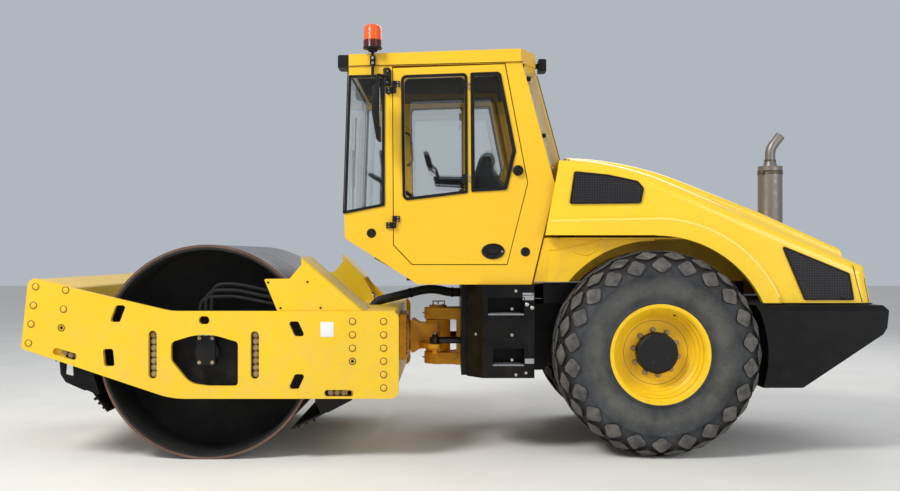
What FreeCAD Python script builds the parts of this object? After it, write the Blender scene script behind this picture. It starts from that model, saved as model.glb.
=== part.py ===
"""Single-drum road roller, at its real size in millimetres.

The machine frame has +X forward, +Y to the machine's left and +Z up. Its origin is on the
ground, under the middle of the overall box. The machine is two frames joined at a hitch: the
front yoke carries the vibrating drum, and the rear frame carries the cab, the engine under
its tilting hood, the counterweight and the two driven wheels.
"""
import FreeCAD
import Part

import math
import os

from FreeCAD import Vector as V

# Drum
drum_x = 1760.0
drum_radius = 750.0
drum_width = 2130.0
drum_shell = 35.0
drum_web = 30.0
drum_hub_radius = 260.0
drum_hub_length = 130.0
drum_shaft_radius = 95.0
drum_web_y = drum_width / 2 - 455
drum_side_gap = 45.0
drum_clearance = 45.0
scraper_gap = 47.0
port_rise = 120.0
buffer_x = (drum_x - 350, drum_x + 355)
buffer_length = 100.0

# Wheels
wheel_x = -1410.0
wheel_centre_y = 792.0
tyre_radius = 730.0
tyre_width = 587.0
rim_radius = 330.0
rim_flange = 25.0
rim_width = 534.0
hub_cap_radius = 145.0
stud_circle = 162.0
disc_y = 80.0
hub_shaft_radius = 95.0
bowl_radius = 215.0
axle_radius = 115.0

# Tread
tread_blocks = 22
tread_depth = 22.0
crown_half = 190.0
shoulder_radius = 655.0

# Fits
running_gap = 0.1
seat_gap = 0.3
free_gap = 6.0

# Yoke
side_plate = 40.0
yoke_inner = drum_width / 2 + drum_side_gap
yoke_half_width = yoke_inner + side_plate
yoke_rear_x = 417.0
yoke_top_z = 1040.0
yoke_bottom_z = 435.0
yoke_front_x = drum_x + drum_radius + 514
beam_top_z = yoke_top_z - 5
beam_front_x = 790.0
cover_sheet = 8.0

# Hitch
steer_x = 157.0
oscillation_z = 790.0
fork_top_z = 1010.0
fork_bottom_z = 568.0
ear_height = 90.0
pin_radius = 45.0
spigot_radius = 115.0
rod_y = 300.0
rod_z = 771.0
rod_radius = 26.0
barrel_radius = 48.0
steer_eye_x = 177.0
barrel_pivot_x = -600.0
barrel_pin_radius = 25.0
barrel_foot = 70.0
bundle_radius = 37.0

# Rear frame
front_plate_x = -20.0
front_plate = 40.0
front_plate_half = 700.0
frame_bottom_z = 548.0
cab_floor_z = 1215.0
rail_y = 450.0
rail = 40.0
rail_top_z = 1060.0
rail_low_z = tyre_radius + axle_radius + 17
engine_bottom_z = tyre_radius + bowl_radius + 10
tank_rear_x = -540.0
weight_clearance = 40.0
weight_rear_x = -3030.0
weight_top_z = 1072.0
weight_half_width = 1000.0
weight_front_x = -2105.0

# Cab
cab_half_width = 850.0
tank_half_width = cab_half_width + 50
cab_wall = 40.0
glass = 6.0
glass_lap = 15.0
cab_front_top = (789.0, 2780.0)
cab_front_sill = (824.0, 1735.0)
cab_rear_top = (-455.0, 2811.0)
cab_rear_knee = (-695.0, 1926.0)
cab_rear_foot = (-523.0, 1215.0)
cab_nose = (818.0, 1547.0)
cab_toe = (294.0, 1215.0)
roof_low_front = (790.0, 2777.0)
roof_low_rear = (-571.0, 2812.0)
rear_bulge = 110.0
rear_flat_half = 600.0
door_hinge_x = 462.0
door_hinge_y = cab_half_width + 16
roof_lap = 6.0

# Hood
hood_half_width = 900.0
hood_skin = 25.0
hood_bottom_z = 1085.0
hood_rear_x = -2967.0
arch_radius = tyre_radius + 105
lip_z = tyre_radius + arch_radius + 3
crease_radius = tyre_radius + 235
flare = 32.0
hood_hinge = (-820.0, 2100.0)
hood_front_x = -800.0
hinge_pin_radius = 12.0
stack_x = -2628.0
stack_y = -420.0
stack_radius = 100.0
beacon_radius = 66.0

SIDES = (("left", 1), ("right", -1))


def corner_path(points, to3d):
    """Closed wire through 2-D points; a third number rounds that corner to that radius."""
    count = len(points)
    stops = []
    for i, point in enumerate(points):
        a = V(points[i - 1][0], points[i - 1][1], 0)
        b = V(point[0], point[1], 0)
        c = V(points[(i + 1) % count][0], points[(i + 1) % count][1], 0)
        radius = point[2] if len(point) > 2 else 0
        if not radius:
            stops.append((b, None, b))
            continue
        back = (a - b).normalize()
        ahead = (c - b).normalize()
        half = back.getAngle(ahead) / 2
        reach = radius / math.tan(half)
        middle = b + (back + ahead).normalize() * (radius / math.sin(half) - radius)
        stops.append((b + back * reach, middle, b + ahead * reach))
    edges = []
    for i, (start, middle, end) in enumerate(stops):
        if middle is not None:
            edges.append(Part.Arc(to3d(start), to3d(middle), to3d(end)).toShape())
        nxt = stops[(i + 1) % count][0]
        if end.distanceToPoint(nxt) > 1e-6:
            edges.append(Part.LineSegment(to3d(end), to3d(nxt)).toShape())
    return Part.Wire(Part.__sortEdges__(edges))


def side_prism(points, y0, y1):
    """Extrudes an outline drawn in (x, z) from y0 to y1."""
    wire = corner_path(points, lambda p: V(p.x, y0, p.y))
    return Part.Face(wire).extrude(V(0, y1 - y0, 0))


def plan_prism(points, z0, z1, lean=0.0):
    """Extrudes an outline drawn in (x, y) from z0 to z1; lean shifts its top along x."""
    wire = corner_path(points, lambda p: V(p.x, p.y, z0))
    return Part.Face(wire).extrude(V(lean, 0, z1 - z0))


def slot(x0, z0, x1, z1, width):
    """Outline in (x, z) of a slot between two end points, its ends all but round."""
    along = V(x1 - x0, 0, z1 - z0).normalize()
    across = V(-along.z, 0, along.x) * (width / 2)
    reach = along * (width / 2)
    r = width / 2 - 0.5
    a = V(x0, 0, z0) - reach
    b = V(x1, 0, z1) + reach
    return [(p.x, p.z, r) for p in (a - across, a + across, b + across, b - across)]


def front_prism(points, x0, x1):
    """Extrudes an outline drawn in (y, z) from x0 to x1."""
    wire = corner_path(points, lambda p: V(x0, p.x, p.y))
    return Part.Face(wire).extrude(V(x1 - x0, 0, 0))


def block(x0, x1, y0, y1, z0, z1):
    return Part.makeBox(abs(x1 - x0), abs(y1 - y0), abs(z1 - z0), V(min(x0, x1), min(y0, y1), min(z0, z1)))


def rod_along(axis, centre, radius, length):
    """Cylinder whose middle lies on centre."""
    return Part.makeCylinder(radius, length, centre - axis * (length / 2), axis)


def lathe(points, x, z):
    """Revolves an outline of (radius, y) points about the axle at (x, z)."""
    wire = corner_path(points, lambda p: V(x, p.y, z + p.x))
    return Part.Face(wire).revolve(V(x, 0, z), V(0, 1, 0), 360)


def flat_ring(profile, sides):
    """Ring about the Y axis with flat sides; each radius of (radius, y) runs to the middle of a flat."""
    turn = 2 * math.pi / sides
    rings = []
    for radius, y in profile:
        r = radius / math.cos(turn / 2)
        angles = [(i - 0.5) * turn for i in range(sides)]
        rings.append([V(r * math.sin(a), y, -r * math.cos(a)) for a in angles])
    faces = []
    for a, b in zip(rings, rings[1:] + rings[:1]):
        for i in range(sides):
            j = (i + 1) % sides
            faces.append(Part.Face(Part.makePolygon([a[i], a[j], b[j], b[i], a[i]])))
    return Part.makeSolid(Part.makeShell(faces))


def mirrored(shape):
    return shape.mirror(V(0, 0, 0), V(0, 1, 0))


def fused(*shapes):
    out = shapes[0]
    if len(shapes) > 1:
        out = out.multiFuse(list(shapes[1:]))
    return out.removeSplitter()


def tube_path(points, radius, bend):
    """A hose: straight runs through the points, joined by tangent arcs of radius bend."""
    edges = []
    at = points[0]
    for i in range(1, len(points) - 1):
        back = (points[i - 1] - points[i]).normalize()
        ahead = (points[i + 1] - points[i]).normalize()
        half = back.getAngle(ahead) / 2
        reach = bend[i - 1] / math.tan(half)
        middle = points[i] + (back + ahead).normalize() * (bend[i - 1] / math.sin(half) - bend[i - 1])
        start = points[i] + back * reach
        end = points[i] + ahead * reach
        edges.append(Part.LineSegment(at, start).toShape())
        edges.append(Part.Arc(start, middle, end).toShape())
        at = end
    edges.append(Part.LineSegment(at, points[-1]).toShape())
    path = Part.Wire(edges)
    ring = Part.Wire(Part.makeCircle(radius, points[0], points[1] - points[0]))
    return path.makePipeShell([ring], True, False)


def save(node, *shapes):
    """Writes one node: each of its solids, closed and apart."""
    solids = [s for shape in shapes for s in shape.Solids]
    Part.makeCompound(solids).exportStep("parts/" + node + ".step")


def at_height(low, high, z):
    """x of the line through two (x, z) points at a height."""
    return low[0] + (high[0] - low[0]) * (z - low[1]) / (high[1] - low[1])


def roof_underside(x):
    """Height of the roof cap's lower face at x."""
    share = (roof_low_front[0] - x) / (roof_low_front[0] - roof_low_rear[0])
    return roof_low_front[1] + share * (roof_low_rear[1] - roof_low_front[1])


def screen_x(z):
    """x of the windscreen's inner face at a height."""
    return at_height(cab_front_sill, cab_front_top, z)


def drum():
    """Rolled shell, two inner webs, and a hub in each web that runs on the mount's shaft."""
    inner = drum_radius - drum_shell
    bore = drum_shaft_radius + running_gap
    half = drum_width / 2
    hub_out = drum_web_y + drum_hub_length / 2
    hub_in = drum_web_y - drum_hub_length / 2
    web_out = drum_web_y + drum_web / 2
    web_in = drum_web_y - drum_web / 2
    profile = [
        (drum_radius, -half), (drum_radius, half), (inner, half), (inner, web_out),
        (drum_hub_radius, web_out), (drum_hub_radius, hub_out), (bore, hub_out), (bore, hub_in),
        (drum_hub_radius, hub_in), (drum_hub_radius, web_in), (inner, web_in),
        (inner, -web_in), (drum_hub_radius, -web_in), (drum_hub_radius, -hub_in), (bore, -hub_in),
        (bore, -hub_out), (drum_hub_radius, -hub_out), (drum_hub_radius, -web_out),
        (inner, -web_out), (inner, -half),
    ]
    save("drum", lathe(profile, drum_x, drum_radius))


def side_plates():
    """Yoke side plates, with the drum window, lashing slots and the slots over the bolts."""
    y1 = yoke_half_width
    y0 = yoke_inner
    front = yoke_front_x
    outline = [
        (front - 52, 1270, 45), (front, 782, 25), (1985, yoke_bottom_z, 600),
        (yoke_rear_x, yoke_bottom_z, 57), (yoke_rear_x, yoke_top_z, 57), (1990, yoke_top_z, 420),
    ]
    plate = side_prism(outline, y0, y1)
    window = [
        (1526, 523, 30), (1526, 826, 30), (1758, 895, 420), (1989, 826, 40), (1989, 700, 60),
        (1860, 540, 140), (1730, 523, 60),
    ]
    holes = [side_prism(window, y0 - 1, y1 + 1)]
    # Lashing slots: centre x, centre z, half height, lean of the top edge
    for x, z, half, lean in (
        (front - 669, 1022, 58, -22), (front - 606, 719, 60, 6), (1122, 917, 52, 24), (1121, 553, 52, -24),
    ):
        lash = [(x - 36 + lean, z + half, 18), (x + 36 + lean, z + half, 18),
                (x + 36 - lean, z - half, 18), (x - 36 - lean, z - half, 18)]
        holes.append(side_prism(lash, y0 - 1, y1 + 1))
    # Slots over the bolt rows: first end x and z, second end x and z, width
    for x0, z0, x1, z1, width in (
        (buffer_x[1], 602, buffer_x[1], 876, 57), (buffer_x[0], 600, buffer_x[0], 872, 57),
        (1751, 977, 1769, 977, 56), (753, 473, 907, 473, 46), (front - 360, 727, front - 245, 760, 50),
    ):
        holes.append(side_prism(slot(x0, z0, x1, z1, width), y0 - 1, y1 + 1))
    plate = plate.cut(Part.makeCompound(holes))
    save("yoke_sides", plate, mirrored(plate))


def yoke_beams():
    """Front and rear box beams between the side plates; returns the front one."""
    half = yoke_inner
    x = yoke_front_x
    outline = [(x - 334, 1203, 20), (x - 62, 1264, 20), (x - 14, 790, 20), (x - 294, 700, 20)]
    front = side_prism(outline, -half, half)
    save("yoke_front_beam", front)
    beam = block(450, beam_front_x, -half, half, yoke_bottom_z + 25, beam_top_z)
    x0 = beam_front_x - 235
    x1 = beam_front_x - 25
    port = plan_prism([(x0, -115, 40), (x0, 115, 40), (x1, 115, 40), (x1, -115, 40)],
                      beam_top_z - 115, beam_top_z + 1)
    flange = front_prism([(-230, 611, 20), (-230, 972, 20), (230, 972, 20), (230, 611, 20)], 403, 450)
    ring = Part.makeCylinder(spigot_radius + 50, 30, V(383, 0, oscillation_z), V(1, 0, 0))
    bore = Part.makeCylinder(spigot_radius + running_gap, 350, V(300, 0, oscillation_z), V(1, 0, 0))
    save("yoke_rear_beam", fused(beam, flange, ring).cut(bore).cut(port))
    return front


def drum_mounts():
    """Each end: a carrier plate on rubber buffers, the motor, and the shaft into the drum hub."""
    plate_y = yoke_inner - buffer_length
    plate_t = 25.0
    strap = 14.0
    z = drum_radius
    x0, x1 = buffer_x
    outline = [
        (x0 - 40, z - 180, 40), (x0 - 40, z + 155, 40), (drum_x - 160, z + 210, 80),
        (drum_x + 160, z + 210, 80), (x1 + 40, z + 155, 40), (x1 + 40, z - 180, 40),
        (drum_x + 160, z - 230, 80), (drum_x - 160, z - 230, 80),
    ]
    carrier = side_prism(outline, plate_y - plate_t, plate_y)
    shaft_from = drum_web_y - drum_hub_length / 2
    shaft = Part.makeCylinder(drum_shaft_radius, plate_y - plate_t - shaft_from,
                              V(drum_x, shaft_from, z), V(0, 1, 0))
    flange = Part.makeCylinder(210, 60, V(drum_x, plate_y - 170, z), V(0, 1, 0))
    motor = Part.makeCylinder(85, 70, V(drum_x, plate_y, z), V(0, 1, 0))
    port = block(drum_x - 65, drum_x + 65, plate_y, plate_y + 90, z - 90, z + port_rise)
    parts = [carrier, shaft, flange, motor, port]
    for x in buffer_x:
        parts.append(block(x - 50, x + 50, yoke_inner - strap, yoke_inner, z - 190, z + 166))
        for dz in (-132, -12, 108):
            parts.append(Part.makeCylinder(50, buffer_length - strap, V(x, plate_y, z + dz), V(0, 1, 0)))
    mount = fused(*parts)
    save("drum_mounts", mount, mirrored(mount))


def drum_hoses():
    """Three hoses a side that loop from the motor's port, under the cover, down to the beam."""
    y = yoke_inner - 24
    foot = drum_radius + port_rise + seat_gap
    rear = beam_front_x - 50
    hoses = []
    # x at the port, top of the loop, z under the cover, y on the beam, radius
    for start_x, peak_z, low_z, end_y, r in (
        (1722, 1228, 1150, y, 13), (1762, 1184, 1108, y - 36, 14), (1802, 1140, 1066, y - 72, 13),
    ):
        path = [V(start_x, y, foot), V(start_x, y, peak_z - 6), V(1560, y, peak_z), V(1180, y, low_z),
                V(1020, y, low_z - 12), V(rear + 110, end_y, 1094), V(rear, end_y, 1094),
                V(rear, end_y, beam_top_z + seat_gap)]
        hoses.append(tube_path(path, r, (80, 500, 300, 90, 90, 54)))
    save("drum_hoses", *hoses, *[mirrored(h) for h in hoses])


def hitch_hoses():
    """Sleeved hose bundle from the cab's front plate over the hitch, down into the rear beam."""
    end_x = beam_front_x - 105
    path = [V(front_plate_x + seat_gap, 0, 1130), V(70, 0, 1130), V(210, 0, 1166), V(end_x - 30, 0, 1058),
            V(end_x + 20, 0, beam_top_z - 92)]
    save("hitch_hoses", tube_path(path, bundle_radius, (300, 400, 110)))


def covers():
    """Folded sheet covers on the rear beam, one each side of the driver's view of the drum."""
    sheet = cover_sheet
    outer = yoke_half_width - 20
    foot_z = beam_top_z
    centre = V(drum_x, 0, drum_radius)
    keep_off = rod_along(V(0, 1, 0), centre, drum_radius + drum_clearance, drum_width + 2 * drum_clearance)
    # name, y of the inner cheek, apex x, apex z, rise of the slope, z where its sheet ends
    for name, inner, top_x, top_z, rise, sheet_z in (
        ("cover_left", 549, 1097, 1417, 0.867, foot_z), ("cover_right", 610, 985, 1427, 1.0, 1242),
    ):
        slope = V(1, 0, rise).normalize()
        down = V(slope.z, 0, -slope.x)
        low = V(top_x, 0, top_z) - slope * 900
        high = V(top_x, 0, top_z) + slope * 200
        solids = []
        for skin, y0, y1, r in ((0, inner, outer, 45.0), (sheet, inner + sheet, outer - sheet, 37.0)):
            corners = [low + down * skin, high + down * skin, high + down * 900, low + down * 900]
            bar = side_prism([(p.x, p.z) for p in corners], y0, y1)
            ridge = [e for e in bar.Edges if all(abs(v.Y - y1) < 1e-3 for v in e.Vertexes)
                     and all(abs((v.Point - low).dot(down) - skin) < 1e-3 for v in e.Vertexes)]
            solids.append(bar.makeFillet(r, ridge))
        shell = solids[0].cut(solids[1])
        foot_x = top_x - (top_z - foot_z) / rise
        lean = 170 * rise
        outline = [(foot_x - 30, foot_z), (top_x - 20, top_z + 60), (top_x, top_z), (top_x - 7, top_z - 55),
                   (top_x + 76, top_z - 153), (top_x + 253, top_z - 156, 8), (top_x + 159, foot_z)]
        shell = shell.common(side_prism(outline, 0, outer + 1))
        shell = shell.cut(keep_off)
        shell = shell.cut(block(0, 3000, yoke_inner, yoke_half_width, 0, yoke_top_z + seat_gap))
        if sheet_z > foot_z:
            edge_x = top_x - (top_z - sheet_z) / rise
            mouth = side_prism([(edge_x, sheet_z + lean), (foot_x - 400, sheet_z + lean), (foot_x - 400, 0),
                                (top_x - 272, 0), (top_x - 272, top_z - 354), (edge_x, sheet_z - 10)],
                               0, outer - sheet)
            shell = shell.cut(mouth)
        cover = shell if name == "cover_left" else mirrored(shell)
        save(name, cover)


def scrapers(front_beam):
    """Front and rear scraper: end plates bolted to the yoke, a cross beam and a toothed blade."""
    plate = 14.0
    inside = yoke_inner - plate
    x = yoke_front_x
    front = [(x - 418, 800, 10), (x - 224, 800), (x - 224, 690), (x - 252, 690), (x - 259, 601, 30),
             (x - 294, 545, 40), (x - 433, 484, 8), (x - 496, 614, 8), (x - 434, 700)]
    hole = [(x - 350, 587, 8), (x - 344, 672, 8), (x - 302, 680, 8), (x - 294, 600, 8)]
    front_end = side_prism(front, inside, yoke_inner).cut(side_prism(hole, inside - 1, yoke_inner + 1))
    front_beam_outline = [(x - 424, 598, 8), (x - 479, 620, 8), (x - 532, 452, 8), (x - 439, 490, 8)]
    low_z = yoke_bottom_z + 25
    rear = [(beam_front_x, 525), (985, 525), (1000, 430, 10), (945, 328, 10), (905, 336, 8), (742, 421, 8),
            (742, low_z), (beam_front_x, low_z)]
    rear_end = side_prism(rear, inside, yoke_inner)
    rear_beam_outline = [(1002, 420, 6), (990, 432, 6), (905, 340, 6), (960, 322, 6)]
    # name, end plate, beam outline, blade foot, angle of the blade's tip about the drum
    for name, end, outline, foot, tip_angle in (
        ("scraper_front", front_end, front_beam_outline, (x - 469, 490), -31.1),
        ("scraper_rear", rear_end, rear_beam_outline, (935, 331), 222.1),
    ):
        beam = side_prism(outline, -yoke_inner, yoke_inner)
        a = math.radians(tip_angle)
        reach = drum_radius + scraper_gap
        tip = V(drum_x + reach * math.cos(a), 0, drum_radius + reach * math.sin(a))
        foot = V(foot[0], 0, foot[1])
        along = (tip - foot).normalize()
        across = V(along.z, 0, -along.x)
        if across.z > 0:
            across = -across
        quad = [tip + across * 5, tip - across * 5, foot - across * 5, foot + across * 5]
        parts = [end, mirrored(end), beam, side_prism([(p.x, p.z) for p in quad], -inside, inside)]
        # Clamp bars step down along the blade: distance along it, thickness
        length = (tip - foot).Length
        for share, thick in ((0.30, 26), (0.52, 20), (0.74, 14)):
            at = foot + along * (length * share)
            bar = [at, at + across * thick, at + along * 18 + across * thick, at + along * 18]
            parts.append(side_prism([(p.x, p.z) for p in bar], -inside, inside))
        solid = fused(*parts)
        if name == "scraper_front":
            solid = solid.cut(front_beam)
        save(name, solid)


def hitch():
    """Neck casting: swing spigot in the yoke, boss on the steering pin, and two rod ears."""
    spigot = Part.makeCylinder(spigot_radius, 270, V(350, 0, oscillation_z), V(1, 0, 0))
    neck = side_prism([(372, 640, 20), (372, 940, 20), (300, 888, 60), (steer_x, 888, 0), (steer_x, 690, 0),
                       (300, 690, 60)], -120, 120)
    low = fork_bottom_z + ear_height + free_gap
    high = fork_top_z - ear_height - free_gap
    boss = Part.makeCylinder(98, high - low, V(steer_x, 0, low))
    ear_top = rod_z - 24 - free_gap
    ears = plan_prism([(steer_eye_x - 46, rod_y + 45, 40), (steer_eye_x + 46, rod_y + 45, 40),
                       (330, 60), (330, -60), (steer_eye_x + 46, -rod_y - 45, 40),
                       (steer_eye_x - 46, -rod_y - 45, 40), (steer_x - 20, -60), (steer_x - 20, 60)],
                      ear_top - 34, ear_top)
    nuts = [Part.makeCylinder(24, 40, V(steer_eye_x, s * rod_y, ear_top - 34 - 40)) for s in (1, -1)]
    bore = Part.makeCylinder(pin_radius + running_gap, 800, V(steer_x, 0, 400))
    save("hitch_neck", fused(spigot, neck, boss, ears, *nuts).cut(bore))


def fork():
    """Rear fork: two ears over and under the neck's boss, the pin, and its back plate."""
    ears = []
    for z in (fork_bottom_z, fork_top_z - ear_height):
        ears.append(plan_prism([(front_plate_x + 25, -150, 0), (steer_x, -109, 0), (steer_x, 109, 0),
                                (front_plate_x + 25, 150, 0)], z, z + ear_height))
        ears.append(Part.makeCylinder(109, ear_height, V(steer_x, 0, z)))
    back = block(front_plate_x, front_plate_x + 30, -135, 135, fork_bottom_z, fork_top_z)
    feet = [block(front_plate_x, front_plate_x + 40, -180, 180, z, z + ear_height)
            for z in (fork_bottom_z, fork_top_z - ear_height)]
    pin = Part.makeCylinder(pin_radius, fork_top_z - fork_bottom_z + 28, V(steer_x, 0, fork_bottom_z - 10))
    cap = Part.makeCylinder(70, 18, V(steer_x, 0, fork_top_z))
    bracket = block(steer_x - 55, steer_x + 45, -40, -30, fork_top_z, fork_top_z + 52)
    bracket = bracket.cut(block(steer_x - 45, steer_x + 35, -50, -20, fork_top_z + 10, fork_top_z + 42))
    save("hitch_fork", fused(*ears, back, *feet, pin, cap, bracket))


def steering_cylinders():
    """Barrels that swing on the chassis pins, and rods that reach over the neck's ears."""
    tube_x = barrel_pivot_x + 58
    for name, side in SIDES:
        y = side * rod_y
        foot_z = rod_z - barrel_foot / 2
        barrel = Part.makeCylinder(barrel_radius, -140 - tube_x, V(tube_x, y, rod_z), V(1, 0, 0))
        foot = Part.makeCylinder(52, barrel_foot, V(barrel_pivot_x, y, foot_z))
        link = block(barrel_pivot_x, tube_x + 20, y - 40, y + 40, foot_z, foot_z + barrel_foot)
        gland = Part.makeCylinder(barrel_radius + 8, 45, V(-185, y, rod_z), V(1, 0, 0))
        barrel = fused(barrel, foot, link, gland)
        rod_rear = steer_eye_x - 527
        bore = Part.makeCylinder(rod_radius + running_gap, 700, V(rod_rear - 178, y, rod_z), V(1, 0, 0))
        pin_bore = Part.makeCylinder(barrel_pin_radius + running_gap, 200, V(barrel_pivot_x, y, rod_z - 100))
        barrel = barrel.cut(bore).cut(pin_bore)
        save("steer_barrel_" + name, barrel)
        eye = Part.makeCylinder(42, 48, V(steer_eye_x, y, rod_z - 24))
        head = Part.makeCylinder(24, 22, V(steer_eye_x, y, rod_z + 24))
        shaft = Part.makeCylinder(rod_radius, steer_eye_x - rod_rear, V(rod_rear, y, rod_z), V(1, 0, 0))
        save("steer_rod_" + name, fused(shaft, eye, head))


def chassis(weight):
    """Welded rails, front plate and cross-members, with the clevises of the barrels."""
    x0 = front_plate_x - front_plate
    low_z = rail_low_z
    rear = wheel_x - tyre_radius - weight_clearance - 50
    rails = side_prism([(x0, 560), (-640, 560, 60), (-900, low_z, 60), (rear, low_z), (rear, rail_top_z),
                        (x0, rail_top_z)], rail_y - rail / 2, rail_y + rail / 2)
    half = front_plate_half
    plate = block(x0, front_plate_x, -half, half, frame_bottom_z, cab_floor_z)
    for side in (1, -1):
        low, high = rod_z - 118, rod_z + 75
        gate = front_prism([(side * 195, low, 20), (side * 195, high, 20), (side * 390, high, 20),
                            (side * 390, low, 20)], x0 - 1, front_plate_x + 1)
        plate = plate.cut(gate)
    inner = rail_y - rail / 2
    parts = [rails, mirrored(rails), plate]
    # Cross-members: front x, rear x, low z, high z
    clevis_x = barrel_pivot_x - 90
    for ahead, behind, low, high in (
        (clevis_x, clevis_x - 40, 600, 1000), (-1080, -1170, low_z, engine_bottom_z),
        (-1850, -1950, low_z, engine_bottom_z),
    ):
        parts.append(block(ahead, behind, -inner, inner, low, high))
    reach = barrel_foot / 2 + free_gap
    for side in (1, -1):
        y = side * rod_y
        for low in (rod_z - reach - 25, rod_z + reach):
            parts.append(block(clevis_x, barrel_pivot_x, y - 45, y + 45, low, low + 25))
            parts.append(Part.makeCylinder(45, 25, V(barrel_pivot_x, y, low)))
        foot = V(barrel_pivot_x, y, rod_z - reach - 35)
        parts.append(Part.makeCylinder(barrel_pin_radius, 2 * reach + 70, foot))
    save("chassis", fused(*parts).cut(weight))


def axle():
    """Drive axle: centre casing, tubes, hub drives and the pads under the rails."""
    z = tyre_radius
    tube = rod_along(V(0, 1, 0), V(wheel_x, 0, z), axle_radius, 2 * 560)
    bowl = Part.makeSphere(bowl_radius, V(wheel_x, 0, z))
    nose = Part.makeCone(150, 90, 120, V(wheel_x + 160, 0, z), V(1, 0, 0))
    parts = [tube, bowl, nose]
    for side in (1, -1):
        parts.append(Part.makeCone(150, 185, 60, V(wheel_x, side * 540, z), V(0, side, 0)))
        parts.append(Part.makeCylinder(185, 110, V(wheel_x, side * 600, z), V(0, side, 0)))
        hub_end = 710
        reach = wheel_centre_y + disc_y + 13 - hub_end
        parts.append(Part.makeCylinder(hub_shaft_radius, reach, V(wheel_x, side * hub_end, z), V(0, side, 0)))
        y = side * rail_y
        parts.append(block(wheel_x - 120, wheel_x + 120, y - 45, y + 45, z, rail_low_z))
    save("rear_axle", fused(*parts))


def tyre():
    """Tyre about its own centre, with staggered rows of diamond tread blocks."""
    half = tyre_width / 2
    seat = rim_width / 2 - 27
    crown = tyre_radius - tread_depth
    side = [(crown, crown_half), (shoulder_radius, half - 10), (480, half), (rim_radius + seat_gap, seat)]
    profile = [(radius, -y) for radius, y in side[::-1]] + side
    body = flat_ring(profile, 2 * tread_blocks)
    slope = math.atan2(crown - shoulder_radius, half - 10 - crown_half)
    shoulder_y = (crown_half + half - 10) / 2 + tread_depth * math.sin(slope)
    shoulder_face = (crown + shoulder_radius) / 2 + tread_depth * math.cos(slope)
    blocks = []
    # Rows from the middle outwards: y, radius of the face, tilt in degrees, half length, half width
    rows = ((40, tyre_radius, 0, 50, 62), (120, tyre_radius - 4, 0, 50, 62),
            (shoulder_y, shoulder_face, math.degrees(slope), 45, 52))
    for hand in (1, -1):
        for row, (y, radius, tilt, half_length, half_width) in enumerate(rows):
            corners = [V(half_length, 0, 0), V(0, half_width, 0), V(-half_length, 0, 0), V(0, -half_width, 0)]
            one = Part.Face(Part.makePolygon(corners + corners[:1])).extrude(V(0, 0, tread_depth + 12))
            one.rotate(V(0, 0, 0), V(1, 0, 0), hand * tilt)
            one.translate(V(0, hand * y, -radius))
            for i in range(tread_blocks):
                block_copy = one.copy()
                shift = 0.5 * ((row + (hand > 0)) % 2)
                block_copy.rotate(V(0, 0, 0), V(0, 1, 0), 360 / tread_blocks * (i + shift))
                blocks.append(block_copy)
    return body.multiFuse(blocks)


def wheels():
    """Stepped, dished disc rim with its hub cap, and the tyre with its tread blocks."""
    half = rim_width / 2
    bead = rim_radius
    flange = rim_radius + rim_flange
    bore = hub_shaft_radius + running_gap
    cap = disc_y + 90
    # Outline of (radius, y): tyre side, outer steps, disc and cap, then back along the inner side
    profile = [
        (flange, -half), (flange, -half + 14), (bead, -half + 22), (bead, half - 22), (flange, half - 14),
        (flange, half), (bead - 2, half - 4), (bead - 16, half - 20), (bead - 16, half - 70),
        (bead - 32, half - 88), (bead - 32, half - 120), (bead - 54, half - 140), (bead - 54, disc_y + 22),
        (bead - 84, disc_y), (stud_circle + 40, disc_y - 6), (hub_cap_radius, disc_y),
        (hub_cap_radius, cap - 8), (hub_cap_radius - 14, cap), (0, cap), (0, disc_y + 20),
        (bore, disc_y + 20), (bore, disc_y - 75), (stud_circle + 60, disc_y - 75),
        (stud_circle + 60, disc_y - 22), (bead - 74, disc_y - 16), (bead - 74, -half + 60),
        (bead - 14, -half),
    ]
    rim = lathe(profile, 0, 0)
    for name, side in SIDES:
        for node, shape in (("rim_", rim), ("tyre_", tyre())):
            solid = shape if side > 0 else mirrored(shape)
            solid = solid.translated(V(wheel_x, side * wheel_centre_y, tyre_radius))
            save(node + name, solid)


def tanks():
    """Side tanks between the front plate and the wheels, with two foot recesses each."""
    x1 = front_plate_x - front_plate
    y0 = rail_y + rail / 2
    y1 = tank_half_width
    body = plan_prism([(x1, y0), (x1, 750), (x1 - 110, y1), (tank_rear_x, y1), (tank_rear_x, y0)],
                      frame_bottom_z, cab_floor_z)
    # Foot recesses: sill z and the front and rear x
    for sill, front, rear in ((1002, -208, -465), (640, -244, -465)):
        body = body.cut(block(front, rear, y1 - 170, y1 + 1, sill, sill + 120))
    save("side_tanks", body, mirrored(body))


def counterweight():
    """Cast rear weight: raked underneath for ramps, hollowed in front round the tyres."""
    outline = [
        (weight_front_x, weight_top_z), (weight_rear_x + 27, weight_top_z, 20), (weight_rear_x, 1036, 10),
        (weight_rear_x + 13, 914, 20), (weight_rear_x + 41, 868, 20), (-2424, 491, 30),
        (weight_front_x, 491),
    ]
    body = side_prism(outline, -weight_half_width, weight_half_width)
    body = body.cut(rod_along(V(0, 1, 0), V(wheel_x, 0, tyre_radius), tyre_radius + weight_clearance, 3000))
    for side in (1, -1):
        edge = side * (weight_half_width + 12)
        bevel = [(side * (weight_half_width - 38), weight_top_z), (edge, weight_top_z),
                 (edge, weight_top_z - 50)]
        body = body.cut(front_prism(bevel, weight_rear_x - 10, weight_front_x + 10))
    save("counterweight", body)
    tow_eye(body)
    return body


def tow_eye(weight):
    """Plate with one vertical pin hole, on the raked underside of the weight."""
    x = -2850.0
    eye = fused(block(x, -2600, -75, 75, 640, 690), Part.makeCylinder(75, 50, V(x, 0, 640)))
    save("tow_eye", eye.cut(Part.makeCylinder(25, 200, V(x, 0, 600))).cut(weight))


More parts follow.
